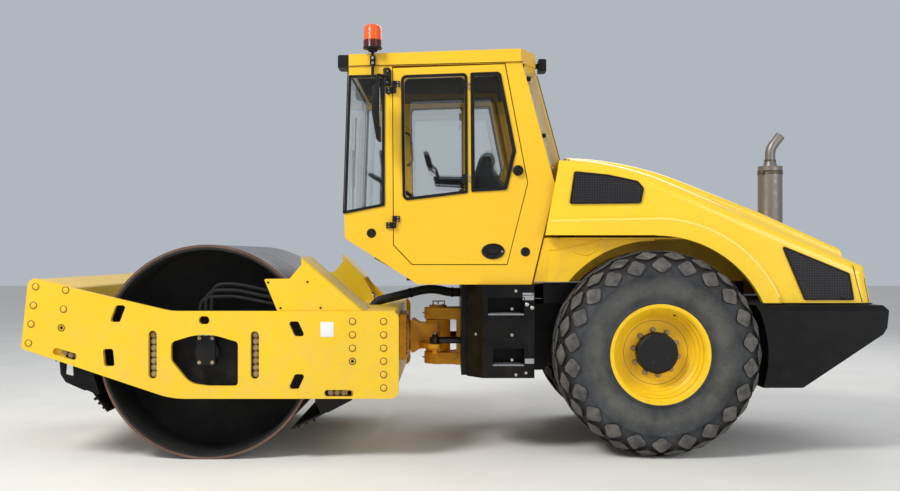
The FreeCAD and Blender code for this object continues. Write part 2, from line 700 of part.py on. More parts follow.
def engine():
    """Engine and pump as one plain block at their real place."""
    save("engine_block", block(-1060, -2000, -300, 300, engine_bottom_z, engine_bottom_z + 600))


def exhaust():
    """Silencer on its foot, with the bent tail pipe that turns rearwards."""
    top = 2170.0
    foot = block(stack_x - 60, stack_x + 60, stack_y - 60, stack_y + 60, weight_top_z, 1400)
    can = Part.makeCylinder(stack_radius, top - 1400, V(stack_x, stack_y, 1400))
    neck = Part.makeCone(60, 44, 50, V(stack_x, stack_y, top))
    path = [V(stack_x, stack_y, top + 30), V(stack_x, stack_y, top + 150),
            V(stack_x - 85, stack_y, top + 260)]
    pipe = tube_path(path, 42, (150,))
    save("exhaust", fused(foot, can, neck, pipe))


def hood():
    """One-piece hood: arched sides, a raised middle panel, flared wheel arches, vents."""
    axle_z = tyre_radius
    w = hood_half_width
    top = [(-2915, 1350, 25), (-1158, 2104, 2200), (-724, 2126)]
    outer = [(hood_rear_x, hood_bottom_z), (-2928, 1276, 40), *top, (-618, lip_z), (-618, hood_bottom_z)]
    base = side_prism(outer, -w, w)
    ridge = [e for e in base.Edges
             if abs(e.Vertexes[0].Y - e.Vertexes[-1].Y) < 1 and abs(abs(e.Vertexes[0].Y) - w) < 1
             and min(v.Z for v in e.Vertexes) > 1330]
    ridge = [e for e in ridge if not (e.Vertexes[0].X > -730 and e.Vertexes[-1].X > -730)]
    base = base.makeFillet(95, ridge)
    middle = [(-2740, 1350), (-2858, 1388), (-2832, 1477), (-2252, 1741, 600), (-1286, 2123, 2500),
              (-784, 2153), (-784, 1990)]
    panel = side_prism(middle, -600, 600)
    rims = [e for e in panel.Edges
            if abs(e.Vertexes[0].Y - e.Vertexes[-1].Y) < 1 and abs(abs(e.Vertexes[0].Y) - 600) < 1
            and min(v.Z for v in e.Vertexes) > 1455 and abs(e.Vertexes[0].X - e.Vertexes[-1].X) > 100]
    panel = panel.makeFillet(45, rims)
    skin = hood_skin
    inner = [(hood_rear_x + skin, hood_bottom_z - 1), (-2928 + skin, 1276), (-2915 + skin, 1350 - skin),
             (-1158, 2104 - skin * 1.03, 2175), (-600, 2126 - skin + 6), (-600, hood_bottom_z - 1)]
    cavity = side_prism(inner, -w + skin, w - skin)
    # Keep the cavity clear of the rounded shoulders
    for s in (1, -1):
        edge = [e for e in cavity.Edges
                if abs(e.Vertexes[0].Y - e.Vertexes[-1].Y) < 1 and abs(e.Vertexes[0].Y - s * (w - skin)) < 1
                and min(v.Z for v in e.Vertexes) > 1300 and abs(e.Vertexes[0].X - e.Vertexes[-1].X) > 50]
        cavity = cavity.makeFillet(72, edge)
    raised = side_prism([(-2700, 1350), (-2800, 1464), (-2252, 1741 - skin, 575), (-1286, 2123 - skin, 2475),
                         (-784, 2153 - skin), (-784, 1990)], -570, 570)
    flares = []
    for s in (1, -1):
        outline = [(-618, lip_z), (-636, lip_z + 112, 20), (wheel_x, axle_z + crease_radius),
                   (wheel_x, lip_z)]
        band = side_prism(outline, s * (w - 10), s * (w + flare))
        ring = Part.makeCylinder(crease_radius, flare + 10, V(wheel_x, s * (w - 10), axle_z), V(0, s, 0))
        cone = Part.makeCone(crease_radius + 8, crease_radius - 22, flare + 10,
                             V(wheel_x, s * (w - 10), axle_z), V(0, s, 0))
        quarter = block(wheel_x, -2400, s * (w - 10), s * (w + flare), hood_bottom_z, lip_z + 182)
        ring = ring.common(cone).common(quarter)
        flares.extend([band, ring])
    shell = fused(base, panel, *flares).cut(fused(cavity, raised))
    arch = Part.makeCylinder(arch_radius, 3000, V(wheel_x, -1500, axle_z), V(0, 1, 0))
    shell = shell.cut(arch)
    front_gap = block(-600, wheel_x, -1500, 1500, 1000, lip_z)
    shell = shell.cut(front_gap)
    shell = shell.cut(block(-500, hood_front_x, -862, 862, 1500, 2300))
    hole = plan_prism([(stack_x - 185, stack_y - 150, 100), (stack_x + 175, stack_y - 150, 100),
                       (stack_x + 175, stack_y + 150, 100), (stack_x - 185, stack_y + 150, 100)], 1400, 2000)
    shell = shell.cut(hole)
    hx, hz = hood_hinge
    lugs = []
    for s in (1, -1):
        outline = [(hx - 45, hz + 36), (hx - 22, hz - 22, 16), (hx + 22, hz - 22, 16), (hx + 20, hz + 36)]
        lug = side_prism(outline, s * 480, s * 500)
        lugs.append(lug.cut(rod_along(V(0, 1, 0), V(hx, s * 490, hz), hinge_pin_radius + running_gap, 100)))
    shell = fused(shell, *lugs)
    save("hood", max(shell.Solids, key=lambda a: a.Volume))


def hood_vents():
    """Black mesh panels: shoulder vents, side grilles and the radiator grille at the back."""
    w = hood_half_width
    vents = []
    for s in (1, -1):
        pod = side_prism([(-824, 2025, 15), (-1065, 2001, 15), (-1276, 1956, 20), (-1321, 1905, 25),
                          (-1300, 1795, 20), (-789, 1790, 15)], s * w, s * (w + 8))
        grille = side_prism([(-2302, 1496, 12), (-2786, 1297, 12), (-2820, 1106, 12), (-2465, 1106, 12)],
                            s * w, s * (w + 8))
        vents.extend([pod, grille])
    save("hood_vents", *vents)


def firewall():
    """Bulkhead behind the cab with the hood's hinge ears and pins."""
    hx, hz = hood_hinge
    low_half = rail_y + rail / 2
    shelf_z = lip_z - 16
    parts = [block(hx - 10, hx + 10, -low_half, low_half, rail_top_z, shelf_z),
             block(hx - 10, hx + 10, -840, 840, shelf_z, hz - 60)]
    for s in (1, -1):
        for y in (455, 510):
            outline = [(hx - 22, hz - 100), (hx - 22, hz + 20, 20), (hx + 22, hz + 20, 20),
                       (hx + 22, hz - 100)]
            ear = side_prism(outline, s * y, s * (y + 15))
            parts.append(ear)
        parts.append(rod_along(V(0, 1, 0), V(hx, s * 490, hz), hinge_pin_radius, 80))
    save("firewall", fused(*parts))
    panel = side_prism([(-642, rail_top_z + 2), (-642, 1216), (-724, shelf_z), (-2150, shelf_z),
                        (-2150, 1075), (-2060, 1075), (-1990, rail_top_z + 40, 60),
                        (-900, rail_top_z + 40, 40), (-860, rail_top_z + 2)], low_half, low_half + 12)
    shelf = block(-726, -1650, low_half + 5, 862, shelf_z - 12, shelf_z)
    foot = block(-1000, -1900, low_half - 12, low_half, rail_top_z, 1200)
    fender = block(-642, wheel_x, 826, 838, 1235, shelf_z)
    fender = fender.cut(rod_along(V(0, 1, 0), V(wheel_x, 832, tyre_radius), tyre_radius + 70, 100))
    arch = fused(panel, shelf, foot, fender)
    save("inner_arches", arch, mirrored(arch))


def cab_sides():
    """Side wall: the front quarter, the post, the sill and the rear quarter round the door."""
    y1 = cab_half_width
    y0 = y1 - cab_wall
    top_x = screen_x(2770) - seat_gap
    outline = [
        (top_x, roof_underside(top_x)), (cab_rear_top[0], roof_underside(cab_rear_top[0])), cab_rear_knee,
        cab_rear_foot, cab_toe, cab_nose, (cab_front_sill[0] - seat_gap, cab_front_sill[1]),
        (546, 1795, 8), (546, 2707, 8), (screen_x(2702) - seat_gap, 2702),
    ]
    wall = side_prism(outline, y0, y1)
    g = free_gap
    opening = [(473 + g, 2900), (-330 - g, 2900), (-330 - g, 2805), (-493 - g, 1945), (-346 - 4, 1361 - g),
               (333 + 3, 1361 - g), (466 + g, 1500 - 3)]
    wall = wall.cut(side_prism(opening, y0 - 1, y1 + 1))
    knuckles = []
    for z in (2632, 1664):
        leaf = block(474 + g, 520, y1, y1 + 7, z - 45, z - 3)
        knuckle = Part.makeCylinder(11, 43 - seat_gap, V(door_hinge_x, door_hinge_y, z - 43))
        arm = block(door_hinge_x, 500, door_hinge_y - 9, door_hinge_y - 2, z - 43, z - 3)
        knuckles.extend([leaf, knuckle, arm])
    wall = fused(wall, *knuckles)
    save("cab_sides", wall, mirrored(wall))


def doors():
    """Door leaf with its two window openings, its hinge halves and handle boss."""
    y1 = cab_half_width
    y0 = y1 - cab_wall
    outline = [(473, 2770), (-330, 2798), (-493, 1945), (-346, 1361), (333, 1361), (466, 1500)]
    leaf = side_prism(outline, y0, y1)
    panes = {
        "front": [(415, 2718, 40), (-62, 2734, 30), (-66, 1872, 12), (403, 1815, 40)],
        "rear": [(-83, 2736, 12), (-300, 2744, 30), (-412, 2174, 20), (-347, 1894, 20), (-90, 1879, 12)],
    }
    glasses = []
    for outline in panes.values():
        cx = sum(p[0] for p in outline) / len(outline)
        cz = sum(p[1] for p in outline) / len(outline)
        inner = [(p[0] + (cx - p[0]) * 0.09, p[1] + (cz - p[1]) * 0.045, p[2]) for p in outline]
        leaf = leaf.cut(side_prism(inner, y0 - 1, y1 + 1))
        glasses.append(side_prism(outline, y1, y1 + glass))
    extras = []
    for z in (2632, 1664):
        extras.append(Part.makeCylinder(11, 43, V(door_hinge_x, door_hinge_y, z)))
        extras.append(block(425, door_hinge_x, y1, y1 + 7, z + 3, z + 43))
        extras.append(block(435, door_hinge_x, door_hinge_y - 12, door_hinge_y - 2, z + 3, z + 43))
    grip = rod_along(V(0, 1, 0), V(-427, y1 + 11, 2034), 34, 22)
    extras.append(grip)
    leaf = fused(leaf, *extras)
    for name, side in SIDES:
        save("door_" + name, leaf if side > 0 else mirrored(leaf))
        save("door_glass_" + name, *(g if side > 0 else mirrored(g) for g in glasses))


def cab_shell():
    """Roof cap, nose panel, rear frame with its bowed corners, and the floor, which it returns."""
    w = cab_half_width + roof_lap
    rear = cab_rear_top[0] - rear_bulge
    front_x = roof_low_front[0]
    rear_x = roof_low_rear[0]
    roof = side_prism([roof_low_front, (front_x, 2868, 12), (rear_x, 2914, 12), roof_low_rear], -w, w)
    for s in (1, -1):
        edge = s * (w + 1)
        wedge = plan_prism([(cab_rear_top[0] + 8, edge), (rear - 30, edge), (rear - 30, s * 590),
                            (rear - 6, s * 610)], 2700, 3000)
        roof = roof.cut(wedge)
    save("cab_roof", roof)
    inner = cab_half_width - cab_wall - seat_gap
    nose_x, nose_z = cab_nose
    floor = side_prism([cab_rear_foot, cab_toe, cab_nose, (nose_x - 8, nose_z + 30),
                        (cab_toe[0] - 12, cab_toe[1] + 40),
                        (cab_rear_foot[0] - 9, cab_rear_foot[1] + 40)], -inner, inner)
    save("cab_floor", floor)
    sill_z = cab_front_sill[1]
    sill_x = screen_x(sill_z) - seat_gap
    nose = side_prism([(nose_x, nose_z), (sill_x, sill_z), (784, sill_z), (780, nose_z + 40)], -inner, inner)
    save("cab_nose", nose.cut(floor))
    knee_x, knee_z = cab_rear_knee
    lean = (cab_rear_top[0] - knee_x) / (cab_rear_top[1] - knee_z)
    flat = rear_flat_half
    plan = [(0, inner), (-rear_bulge, flat), (-rear_bulge, -flat), (0, -inner), (40, -inner),
            (-rear_bulge + 40, -flat + 20), (-rear_bulge + 40, flat - 20), (40, inner)]
    plan = [(knee_x + x, y) for x, y in plan]
    top_z = 2830.0
    up = plan_prism(plan, knee_z, top_z, lean * (top_z - knee_z))
    drop = knee_z - cab_rear_foot[1]
    down = plan_prism(plan, knee_z, knee_z - drop, cab_rear_foot[0] - knee_x)
    frame = fused(up, down)
    frame = frame.cut(block(-900, -300, -rear_flat_half + 60, rear_flat_half - 60, 2010, 2730))
    for s in (1, -1):
        frame = frame.cut(block(-900, -300, s * (rear_flat_half + 40), s * (inner - 30), 1990, 2740))
    frame = frame.cut(roof).cut(floor)
    frame = frame.cut(block(-2000, 0, -2000, 2000, roof_low_rear[1] + 10, 3000))
    save("cab_rear_frame", max(frame.Solids, key=lambda a: a.Volume))
    return floor


def cab_glazing():
    """Windscreen, front quarter panes, and the bowed rear panes."""
    y1 = cab_half_width
    low = cab_front_sill[1] - 10
    high = 2770.0
    screen = plan_prism([(screen_x(low), -y1), (screen_x(low) + glass, -y1), (screen_x(low) + glass, y1),
                         (screen_x(low), y1)], low, high, screen_x(high) - screen_x(low))
    quarter = side_prism([(531, 2722, 10), (531, 1780, 10), (cab_front_sill[0], 1722), (790, 2717)],
                         y1, y1 + glass)
    knee_x, knee_z = cab_rear_knee
    slope = (cab_rear_top[0] - knee_x) / (cab_rear_top[1] - knee_z)
    z0, z1 = 1975.0, 2765.0
    x0 = knee_x + slope * (z0 - knee_z) - rear_bulge
    half = rear_flat_half - 25
    middle = plan_prism([(x0, -half), (x0, half), (x0 - glass, half), (x0 - glass, -half)],
                        z0, z1, slope * (z1 - z0))
    inner = cab_half_width - cab_wall - seat_gap
    along = V(rear_bulge, inner - rear_flat_half, 0).normalize()
    out = V(-along.y, along.x, 0)
    a = V(x0, rear_flat_half, 0) + along * 14
    b = V(x0 + rear_bulge, inner, 0) - along * 6
    strip = [a, b, b + out * glass, a + out * glass]
    corner = plan_prism([(p.x, p.y) for p in strip], z0, z1, slope * (z1 - z0))
    save("cab_glass", screen, quarter, mirrored(quarter), middle, corner, mirrored(corner))


def cab_inside(floor):
    """Seat, steering column and side console."""
    foot = block(-130, 270, -210, 210, cab_floor_z + 40, 1290)
    pillar = block(-40, 260, -150, 150, 1290, 1640)
    pan = block(-110, 330, -230, 230, 1640, 1690)
    save("seat_base", fused(foot, pillar, pan))
    cushion = block(-120, 370, -250, 250, 1690, 1800)
    cushion = cushion.makeFillet(30, cushion.Edges)
    back = side_prism([(-60, 1800.3), (-200, 2260, 50), (-300, 2250, 50), (-180, 1690, 20), (-120.3, 1690),
                       (-120.3, 1800.3)], -240, 240)
    save("seat_cushions", cushion, back)
    column = side_prism([(500, 1310), (660, 1400), (600, 1930, 20), (530, 1930, 20)], -70, 70).cut(floor)
    hub = Part.makeCylinder(30, 70, V(560, 0, 1925), V(-0.45, 0, 0.9))
    wheel = Part.makeTorus(190, 15, V(532, 0, 1982), V(-0.45, 0, 0.9))
    spokes = [rod_along(V(0, 1, 0), V(532, 0, 1982), 12, 370)]
    save("steering_column", fused(column, hub, wheel, *spokes))
    outline = [(-150, 1215), (-150, 1700, 30), (330, 1740, 30), (420, 1650, 30), (420, 1215)]
    console = side_prism(outline, -560, -330).cut(floor)
    lever = rod_along(V(0, 0, 1), V(250, -440, 1800), 14, 160)
    knob = Part.makeSphere(28, V(250, -440, 1890))
    save("side_console", fused(console, lever, knob))


def lamps_and_mirrors():
    """Mirror heads on arms, work lamps on the roof edge, and the amber beacon."""
    y1 = cab_half_width
    roof_y = y1 + roof_lap
    near, far = y1 + 125, y1 + 310
    head = plan_prism([(545, near, 12), (600, near, 12), (600, far, 12), (545, far, 12)], 2225, 2600)
    arm = tube_path([V(505, y1, 2690), V(505, y1 + 110, 2690), V(575, y1 + 208, 2690),
                     V(575, y1 + 208, 2590)], 9, (40, 25))
    heads = fused(head, arm)
    save("mirrors", heads, mirrored(heads))
    lamps = []
    for s in (1, -1):
        lamps.append(fused(block(795, 865, s * (y1 - 210), s * (y1 - 30), 2780, 2870),
                           block(roof_low_front[0], 800, s * (y1 - 150), s * (y1 - 90), 2790, 2830)))
        lamps.append(fused(block(-600, -650, s * 420, s * 560, 2800, 2890),
                           block(roof_low_rear[0], -605, s * 460, s * 520, 2830, 2860)))
    save("work_lamps", *lamps)
    bx, by = 616.0, y1 + 30
    stem = Part.makeCylinder(11, 200, V(bx, by, 2700))
    foot = block(bx - 20, bx + 20, roof_y, by, 2785, 2850)
    cup = Part.makeCone(28, beacon_radius, 45, V(bx, by, 2880))
    save("beacon_base", fused(stem, foot, cup))
    lens = Part.makeCylinder(beacon_radius, 135, V(bx, by, 2925))
    dome = Part.makeCone(beacon_radius, 40, 18, V(bx, by, 3060))
    save("beacon_lens", fused(lens, dome))


def main():
    os.makedirs("parts", exist_ok=True)
    drum()
    side_plates()
    front_beam = yoke_beams()
    drum_mounts()
    drum_hoses()
    hitch_hoses()
    covers()
    scrapers(front_beam)
    hitch()
    fork()
    steering_cylinders()
    chassis(counterweight())
    axle()
    wheels()
    tanks()
    engine()
    exhaust()
    hood()
    hood_vents()
    firewall()
    cab_sides()
    doors()
    floor = cab_shell()
    cab_glazing()
    cab_inside(floor)
    lamps_and_mirrors()


main()
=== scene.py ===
"""Looks of the single-drum road roller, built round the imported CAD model.

The scene and the materials are in metres. The pieces are drawn in millimetres and scaled by piece().
"""
import math

import bmesh
import bpy
from mathutils import Matrix, Quaternion, Vector


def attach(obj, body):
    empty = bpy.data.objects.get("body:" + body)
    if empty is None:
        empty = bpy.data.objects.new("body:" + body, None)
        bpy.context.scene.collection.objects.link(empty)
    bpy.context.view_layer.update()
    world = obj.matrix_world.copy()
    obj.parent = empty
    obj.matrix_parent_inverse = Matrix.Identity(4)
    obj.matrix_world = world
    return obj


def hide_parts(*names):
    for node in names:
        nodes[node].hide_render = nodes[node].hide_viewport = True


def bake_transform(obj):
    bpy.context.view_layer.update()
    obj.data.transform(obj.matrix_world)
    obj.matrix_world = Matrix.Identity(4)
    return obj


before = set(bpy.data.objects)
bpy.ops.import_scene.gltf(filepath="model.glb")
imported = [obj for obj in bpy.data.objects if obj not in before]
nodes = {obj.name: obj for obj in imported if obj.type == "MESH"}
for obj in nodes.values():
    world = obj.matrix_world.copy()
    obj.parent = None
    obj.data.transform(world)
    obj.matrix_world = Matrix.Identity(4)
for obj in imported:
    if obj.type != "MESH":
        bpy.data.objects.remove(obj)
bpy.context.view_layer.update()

# Places shared with the CAD source, in metres
DRUM = (1.760, 0.750)
WHEEL = (-1.410, 0.730)
# Sides and directions
SIDES = (("left", 1), ("right", -1))
OUT = (0, 1, 0)
UP = (0, 0, 1)
AHEAD = (1, 0, 0)
BACK = (-1, 0, 0)


def camera():
    data = bpy.data.cameras.new("camera")
    data.sensor_width = 36.0
    data.lens = 41.84
    data.shift_x = 0.00222
    data.shift_y = 0.01056
    data.clip_end = 200
    obj = bpy.data.objects.new("camera", data)
    obj.location = (0.077, 8.365, 1.427)
    obj.rotation_euler = (math.radians(90), 0, math.radians(180))
    bpy.context.scene.collection.objects.link(obj)
    bpy.context.scene.camera = obj


def studio():
    """Pale floor, soft key light from the upper left of the view, fill and rim lights."""
    world = bpy.data.worlds.new("studio")
    world.use_nodes = True
    back = world.node_tree.nodes["Background"]
    back.inputs["Color"].default_value = (0.80, 0.86, 0.95, 1)
    back.inputs["Strength"].default_value = 0.55
    bpy.context.scene.world = world
    for name, place, target, size, power in (
        ("key", (5.5, 6.5, 8.5), (0, 0, 1.0), 3.6, 900),
        ("fill", (-7.5, 8.0, 4.0), (-0.5, 0, 1.2), 6.0, 300),
        ("rim", (-3.0, -7.5, 7.5), (0, 0, 1.5), 7.0, 300),
    ):
        light = bpy.data.lights.new(name, "AREA")
        light.shape = "DISK"
        light.size = size
        light.energy = power
        obj = bpy.data.objects.new(name, light)
        obj.location = place
        obj.rotation_euler = (Vector(target) - Vector(place)).to_track_quat("-Z", "Y").to_euler()
        bpy.context.scene.collection.objects.link(obj)
    mesh = bpy.data.meshes.new("floor")
    bm = bmesh.new()
    bmesh.ops.create_grid(bm, x_segments=1, y_segments=1, size=40)
    bm.to_mesh(mesh)
    bm.free()
    floor = bpy.data.objects.new("floor", mesh)
    bpy.context.scene.collection.objects.link(floor)
    mesh.materials.append(paint("floor_sheet", (232, 229, 222), rough=0.85, dust=0.0, peel=0.0))
    bpy.context.scene.view_settings.view_transform = "Standard"


def linear(rgb):
    """sRGB 0-255 to linear."""
    out = []
    for c in rgb:
        c = c / 255
        out.append(c / 12.92 if c <= 0.04045 else ((c + 0.055) / 1.055) ** 2.4)
    return (*out, 1.0)


class Graph:
    """A material's nodes, built with short calls."""

    def __init__(self, name):
        self.material = bpy.data.materials.new(name)
        self.material.use_nodes = True
        self.tree = self.material.node_tree
        self.tree.nodes.clear()
        out = self.node("OutputMaterial")
        self.shader = self.node("BsdfPrincipled")
        self.tree.links.new(self.shader.outputs[0], out.inputs["Surface"])
        self.where = self.node("TexCoord").outputs["Object"]

    def put(self, node, key, value):
        if isinstance(value, bpy.types.NodeSocket):
            self.tree.links.new(value, node.inputs[key])
        elif isinstance(value, tuple) and len(value) == 3:
            node.inputs[key].default_value = linear(value)
        elif value is not None:
            node.inputs[key].default_value = value

    def node(self, kind, *values, **named):
        """New node with its inputs filled in order, by name, or both; three numbers are an sRGB colour."""
        node = self.tree.nodes.new("ShaderNode" + kind)
        for key, value in [*enumerate(values), *named.items()]:
            self.put(node, key, value)
        return node

    def shade(self, colour, rough, normal, shine=0.5, **others):
        values = {"Base_Color": colour, "Roughness": rough, "Normal": normal, "Specular_IOR_Level": shine, **others}
        for key, value in values.items():
            self.put(self.shader, key.replace("_", " "), value)
        return self.material

    def noise(self, scale, detail=3.0, rough=0.5, at=None, distort=0.0):
        return self.node("TexNoise", Vector=at or self.where, Scale=scale, Detail=detail, Roughness=rough,
                         Distortion=distort).outputs[0]

    def cells(self, scale):
        return self.node("TexVoronoi", Vector=self.where, Scale=scale).outputs["Distance"]

    def math(self, op, a, b=0.0, clamp=False):
        node = self.node("Math", a, b)
        node.operation = op
        node.use_clamp = clamp
        return node.outputs[0]

    def times(self, a, b, clamp=False):
        return self.math("MULTIPLY", a, b, clamp)

    def plus(self, a, b, clamp=False):
        return self.math("ADD", a, b, clamp)

    def minus(self, a, b):
        return self.math("SUBTRACT", a, b)

    def span(self, value, low, high, to_low=0.0, to_high=1.0):
        """Maps value from low..high to to_low..to_high, clamped."""
        return self.node("MapRange", value, low, high, to_low, to_high).outputs[0]

    def clouds(self, scale, detail, rough, low, high, distort=0.0):
        """Noise stretched so that low gives 0 and high gives 1."""
        return self.span(self.noise(scale, detail, rough, distort=distort), low, high)

    def mix(self, share, a, b):
        """Blends two colours."""
        node = self.node("Mix", share)
        node.data_type = "RGBA"
        self.put(node, 6, a)
        self.put(node, 7, b)
        return node.outputs[2]

    def axes(self, at=None):
        return tuple(self.node("SeparateXYZ", at or self.where).outputs)

    def join(self, x, y, z):
        return self.node("CombineXYZ", x, y, z).outputs[0]

    def upward(self):
        """1 on faces that look up, 0 on walls and undersides."""
        return self.span(self.axes(self.node("NewGeometry").outputs["Normal"])[2], 0.35, 0.95)

    def round_axle(self, x, z):
        """Radius and angle about an axle along Y."""
        px, _, pz = self.axes()
        dx = self.minus(px, x)
        dz = self.minus(pz, z)
        radius = self.math("SQRT", self.plus(self.times(dx, dx), self.times(dz, dz)))
        return radius, self.math("ARCTAN2", dz, dx)

    def soft_edges(self, radius=0.003):
        node = self.node("Bevel", Radius=radius)
        node.samples = 4
        return node.outputs[0]

    def bump(self, height, depth, strength=1.0, under=None):
        return self.node("Bump", Height=height, Distance=depth, Strength=strength, Normal=under).outputs[0]

    def peel(self, depth=0.0006):
        """Orange peel of sprayed paint over soft edges."""
        return self.bump(self.noise(160, 2, 0.5), depth, 0.5, self.soft_edges())

    def weave(self, u, v):
        """Product of two sine waves."""
        return self.times(self.math("SINE", u), self.math("SINE", v))


# Colours are sRGB, 0 to 255
DUST = (176, 158, 132)


def paint(name, rgb, rough=0.35, dust=0.35, peel=0.0006, coat=0.0, shine=0.5):
    """Sprayed paint: slight shade drift, orange peel, and dust that gathers low down and on tops."""
    g = Graph(name)
    base = linear(rgb)
    darker = tuple(c * 0.80 for c in base[:3]) + (1,)
    drift = g.clouds(1.1, 4, 0.6, 0.35, 0.7)
    colour = g.mix(g.times(drift, 0.35), base, darker)
    grime = g.clouds(7.0, 8, 0.65, 0.42, 0.72, 0.4)
    height = g.span(g.axes()[2], 0.2, 1.5, 1.0, 0.12)
    veil = g.times(g.times(grime, height), dust, clamp=True)
    top = g.times(g.times(g.upward(), g.clouds(3.0, 6, 0.6, 0.3, 0.75)), dust * 0.7)
    veil = g.plus(veil, top, clamp=True)
    colour = g.mix(veil, colour, DUST)
    rough = g.plus(g.span(grime, 0, 1, rough, rough + 0.12), g.times(veil, 0.4), clamp=True)
    return g.shade(colour, rough, g.peel(peel) if peel else g.soft_edges(), shine, Coat_Weight=coat,
                   Coat_Roughness=0.12)


def cast(name, rgb, rough=0.5):
    """Painted sand casting: lumpy skin, oil-dark patches and dust in the hollows."""
    g = Graph(name)
    soil = g.clouds(9, 8, 0.7, 0.45, 0.75, 0.6)
    oil = g.clouds(3.5, 5, 0.6, 0.5, 0.8)
    colour = g.mix(g.times(soil, 0.35), rgb, (170, 118, 44))
    colour = g.mix(g.times(oil, 0.18), colour, (70, 48, 24))
    skin = g.bump(g.noise(70, 5, 0.7), 0.0016, 0.8, g.soft_edges(0.006))
    return g.shade(colour, g.span(soil, 0, 1, rough, rough + 0.25), g.bump(g.noise(12, 3), 0.003, 0.5, skin))


def drum_steel():
    """Rolled shell: worn bright round its width, earth pressed on in bands, rust at the rims, and near-black painted
    shade with dirt within the hollow ends.
    """
    g = Graph("drum_steel")
    radius, angle = g.round_axle(*DRUM)
    _, y, _ = g.axes()
    lane = g.join(g.times(angle, 0.8), g.times(y, 34.0), radius)
    scratch = g.noise(2.2, 7, 0.7, at=lane)
    patch = g.clouds(2.6, 8, 0.62, 0.38, 0.7, 0.5)
    steel = g.mix(g.span(scratch, 0.3, 0.75), (78, 82, 92), (150, 152, 158))
    earth = g.mix(g.noise(22, 5), (120, 92, 66), (150, 126, 98))
    colour = g.mix(g.times(patch, 0.2), steel, earth)
    rim = g.span(g.math("ABSOLUTE", y), 1.035, 1.062)
    rust = g.mix(g.noise(30, 6, 0.7), (92, 62, 44), (140, 104, 78))
    colour = g.mix(g.times(rim, 0.85), colour, rust)
    # painted shade with dirt: the hollow drum ends are near-black within the outer rim
    shaded_inside = g.span(radius, 0.737, 0.729)
    dark = g.mix(g.clouds(6, 8, 0.7, 0.45, 0.75), (13, 12, 12), (34, 30, 26))
    colour = g.mix(shaded_inside, colour, dark)
    dull = g.math("MAXIMUM", shaded_inside, g.times(patch, 0.7))
    return g.shade(colour, g.span(dull, 0, 1, 0.3, 0.8),
                   g.bump(g.noise(45, 6, 0.7), 0.002, 0.5, g.bump(scratch, 0.0008, 0.6)),
                   Metallic=g.span(dull, 0, 1, 0.75, 0.0))


def tyre_rubber():
    """Weathered rubber: cracked bluish-black sidewall, dusty tread faces, mould rings, and near-black painted shade on
    the carcass between the tread blocks.
    """
    g = Graph("tyre_rubber")
    radius, angle = g.round_axle(*WHEEL)
    wall = g.mix(g.clouds(2.4, 8, 0.7, 0.35, 0.68), (29, 30, 33), (64, 67, 71))
    dry = g.clouds(9, 8, 0.7, 0.45, 0.75, 0.3)
    ring = g.times(g.span(radius, 0.375, 0.44), g.span(radius, 0.56, 0.47))
    dry = g.plus(g.times(dry, 0.22), g.times(ring, g.span(g.noise(5, 7, 0.7), 0.35, 0.7, 0.15, 0.8)), clamp=True)
    wall = g.mix(dry, wall, (104, 102, 94))
    # painted shade: the carcass between the tread blocks is near-black
    gap_shade = g.mix(g.noise(20, 5), (15, 15, 17), (34, 32, 30))
    colour = g.mix(g.span(radius, 0.600, 0.650), wall, gap_shade)
    lanes = g.join(g.times(angle, 1.2), g.times(radius, 60.0), 0.0)
    return g.shade(colour, g.span(dry, 0, 1, 0.62, 0.88),
                   g.bump(g.noise(120, 6, 0.75), 0.0012, 0.7, g.bump(g.noise(1.5, 3, at=lanes), 0.0012, 0.35)),
                   shine=0.35)


def beam_paint():
    """Yellow rear beam whose hitch flange is painted like the castings."""
    g = Graph("beam_paint")
    x, _, _ = g.axes()
    soil = g.clouds(7, 8, 0.65, 0.42, 0.72, 0.4)
    body = g.mix(g.times(soil, 0.25), (240, 196, 20), DUST)
    flange = g.mix(g.times(soil, 0.35), (248, 178, 30), (170, 118, 44))
    return g.shade(g.mix(g.span(x, 0.4495, 0.4505), flange, body), g.span(soil, 0, 1, 0.36, 0.6), g.peel(), shine=0.4)


def arch_paint():
    """Yellow fender skins and upper inner panels, black below and behind them."""
    g = Graph("arch_paint")
    _, y, z = g.axes()
    skin = g.math("MAXIMUM", g.span(g.math("ABSOLUTE", y), 0.812, 0.822), g.span(z, 1.228, 1.236))
    soil = g.clouds(6, 8, 0.65, 0.45, 0.75, 0.4)
    yellow = g.mix(g.times(soil, 0.35), (240, 190, 26), (168, 138, 84))
    return g.shade(g.mix(skin, (12, 12, 13), yellow), g.span(soil, 0, 1, 0.36, 0.6), g.soft_edges(), shine=0.35)


def rim_paint():
    """Golden rim with a black hub cap, a ring of painted shade at the step round the disc, and dust in the steps."""
    g = Graph("rim_yellow_paint")
    radius, _ = g.round_axle(*WHEEL)
    soil = g.clouds(12, 8, 0.65, 0.42, 0.75, 0.4)
    colour = g.mix(g.times(soil, 0.22), (244, 198, 24), (176, 140, 60))
    # painted shade: a near-black ring at the step round the disc; the hub cap is really black
    groove_shade = g.times(g.span(radius, 0.2265, 0.2285), g.span(radius, 0.2325, 0.2305))
    cap = g.span(radius, 0.1475, 0.1455)
    dark = g.math("MAXIMUM", g.times(groove_shade, 0.75), cap)
    colour = g.mix(dark, colour, (9, 9, 10))
    return g.shade(colour, g.span(soil, 0, 1, 0.42, 0.6), g.peel(), shine=0.35)


def tread_rubber():
    """Tread blocks: dusty grey faces, and sides painted near-black as shade."""
    g = Graph("tread_rubber")
    node = g.node("Attribute")
    node.attribute_name = "worn"
    face = g.mix(g.clouds(14, 7, 0.7, 0.35, 0.7), (62, 61, 61), (112, 107, 101))
    # painted shade: the sides of the blocks are near-black; the faces are dusty rubber
    shaded_flank = g.mix(g.noise(20, 5), (14, 14, 15), (32, 30, 28))
    return g.shade(g.mix(g.span(node.outputs["Fac"], 0.35, 0.95), shaded_flank, face), 0.82,
                   g.bump(g.noise(120, 6, 0.75), 0.0015, 0.7), shine=0.3)


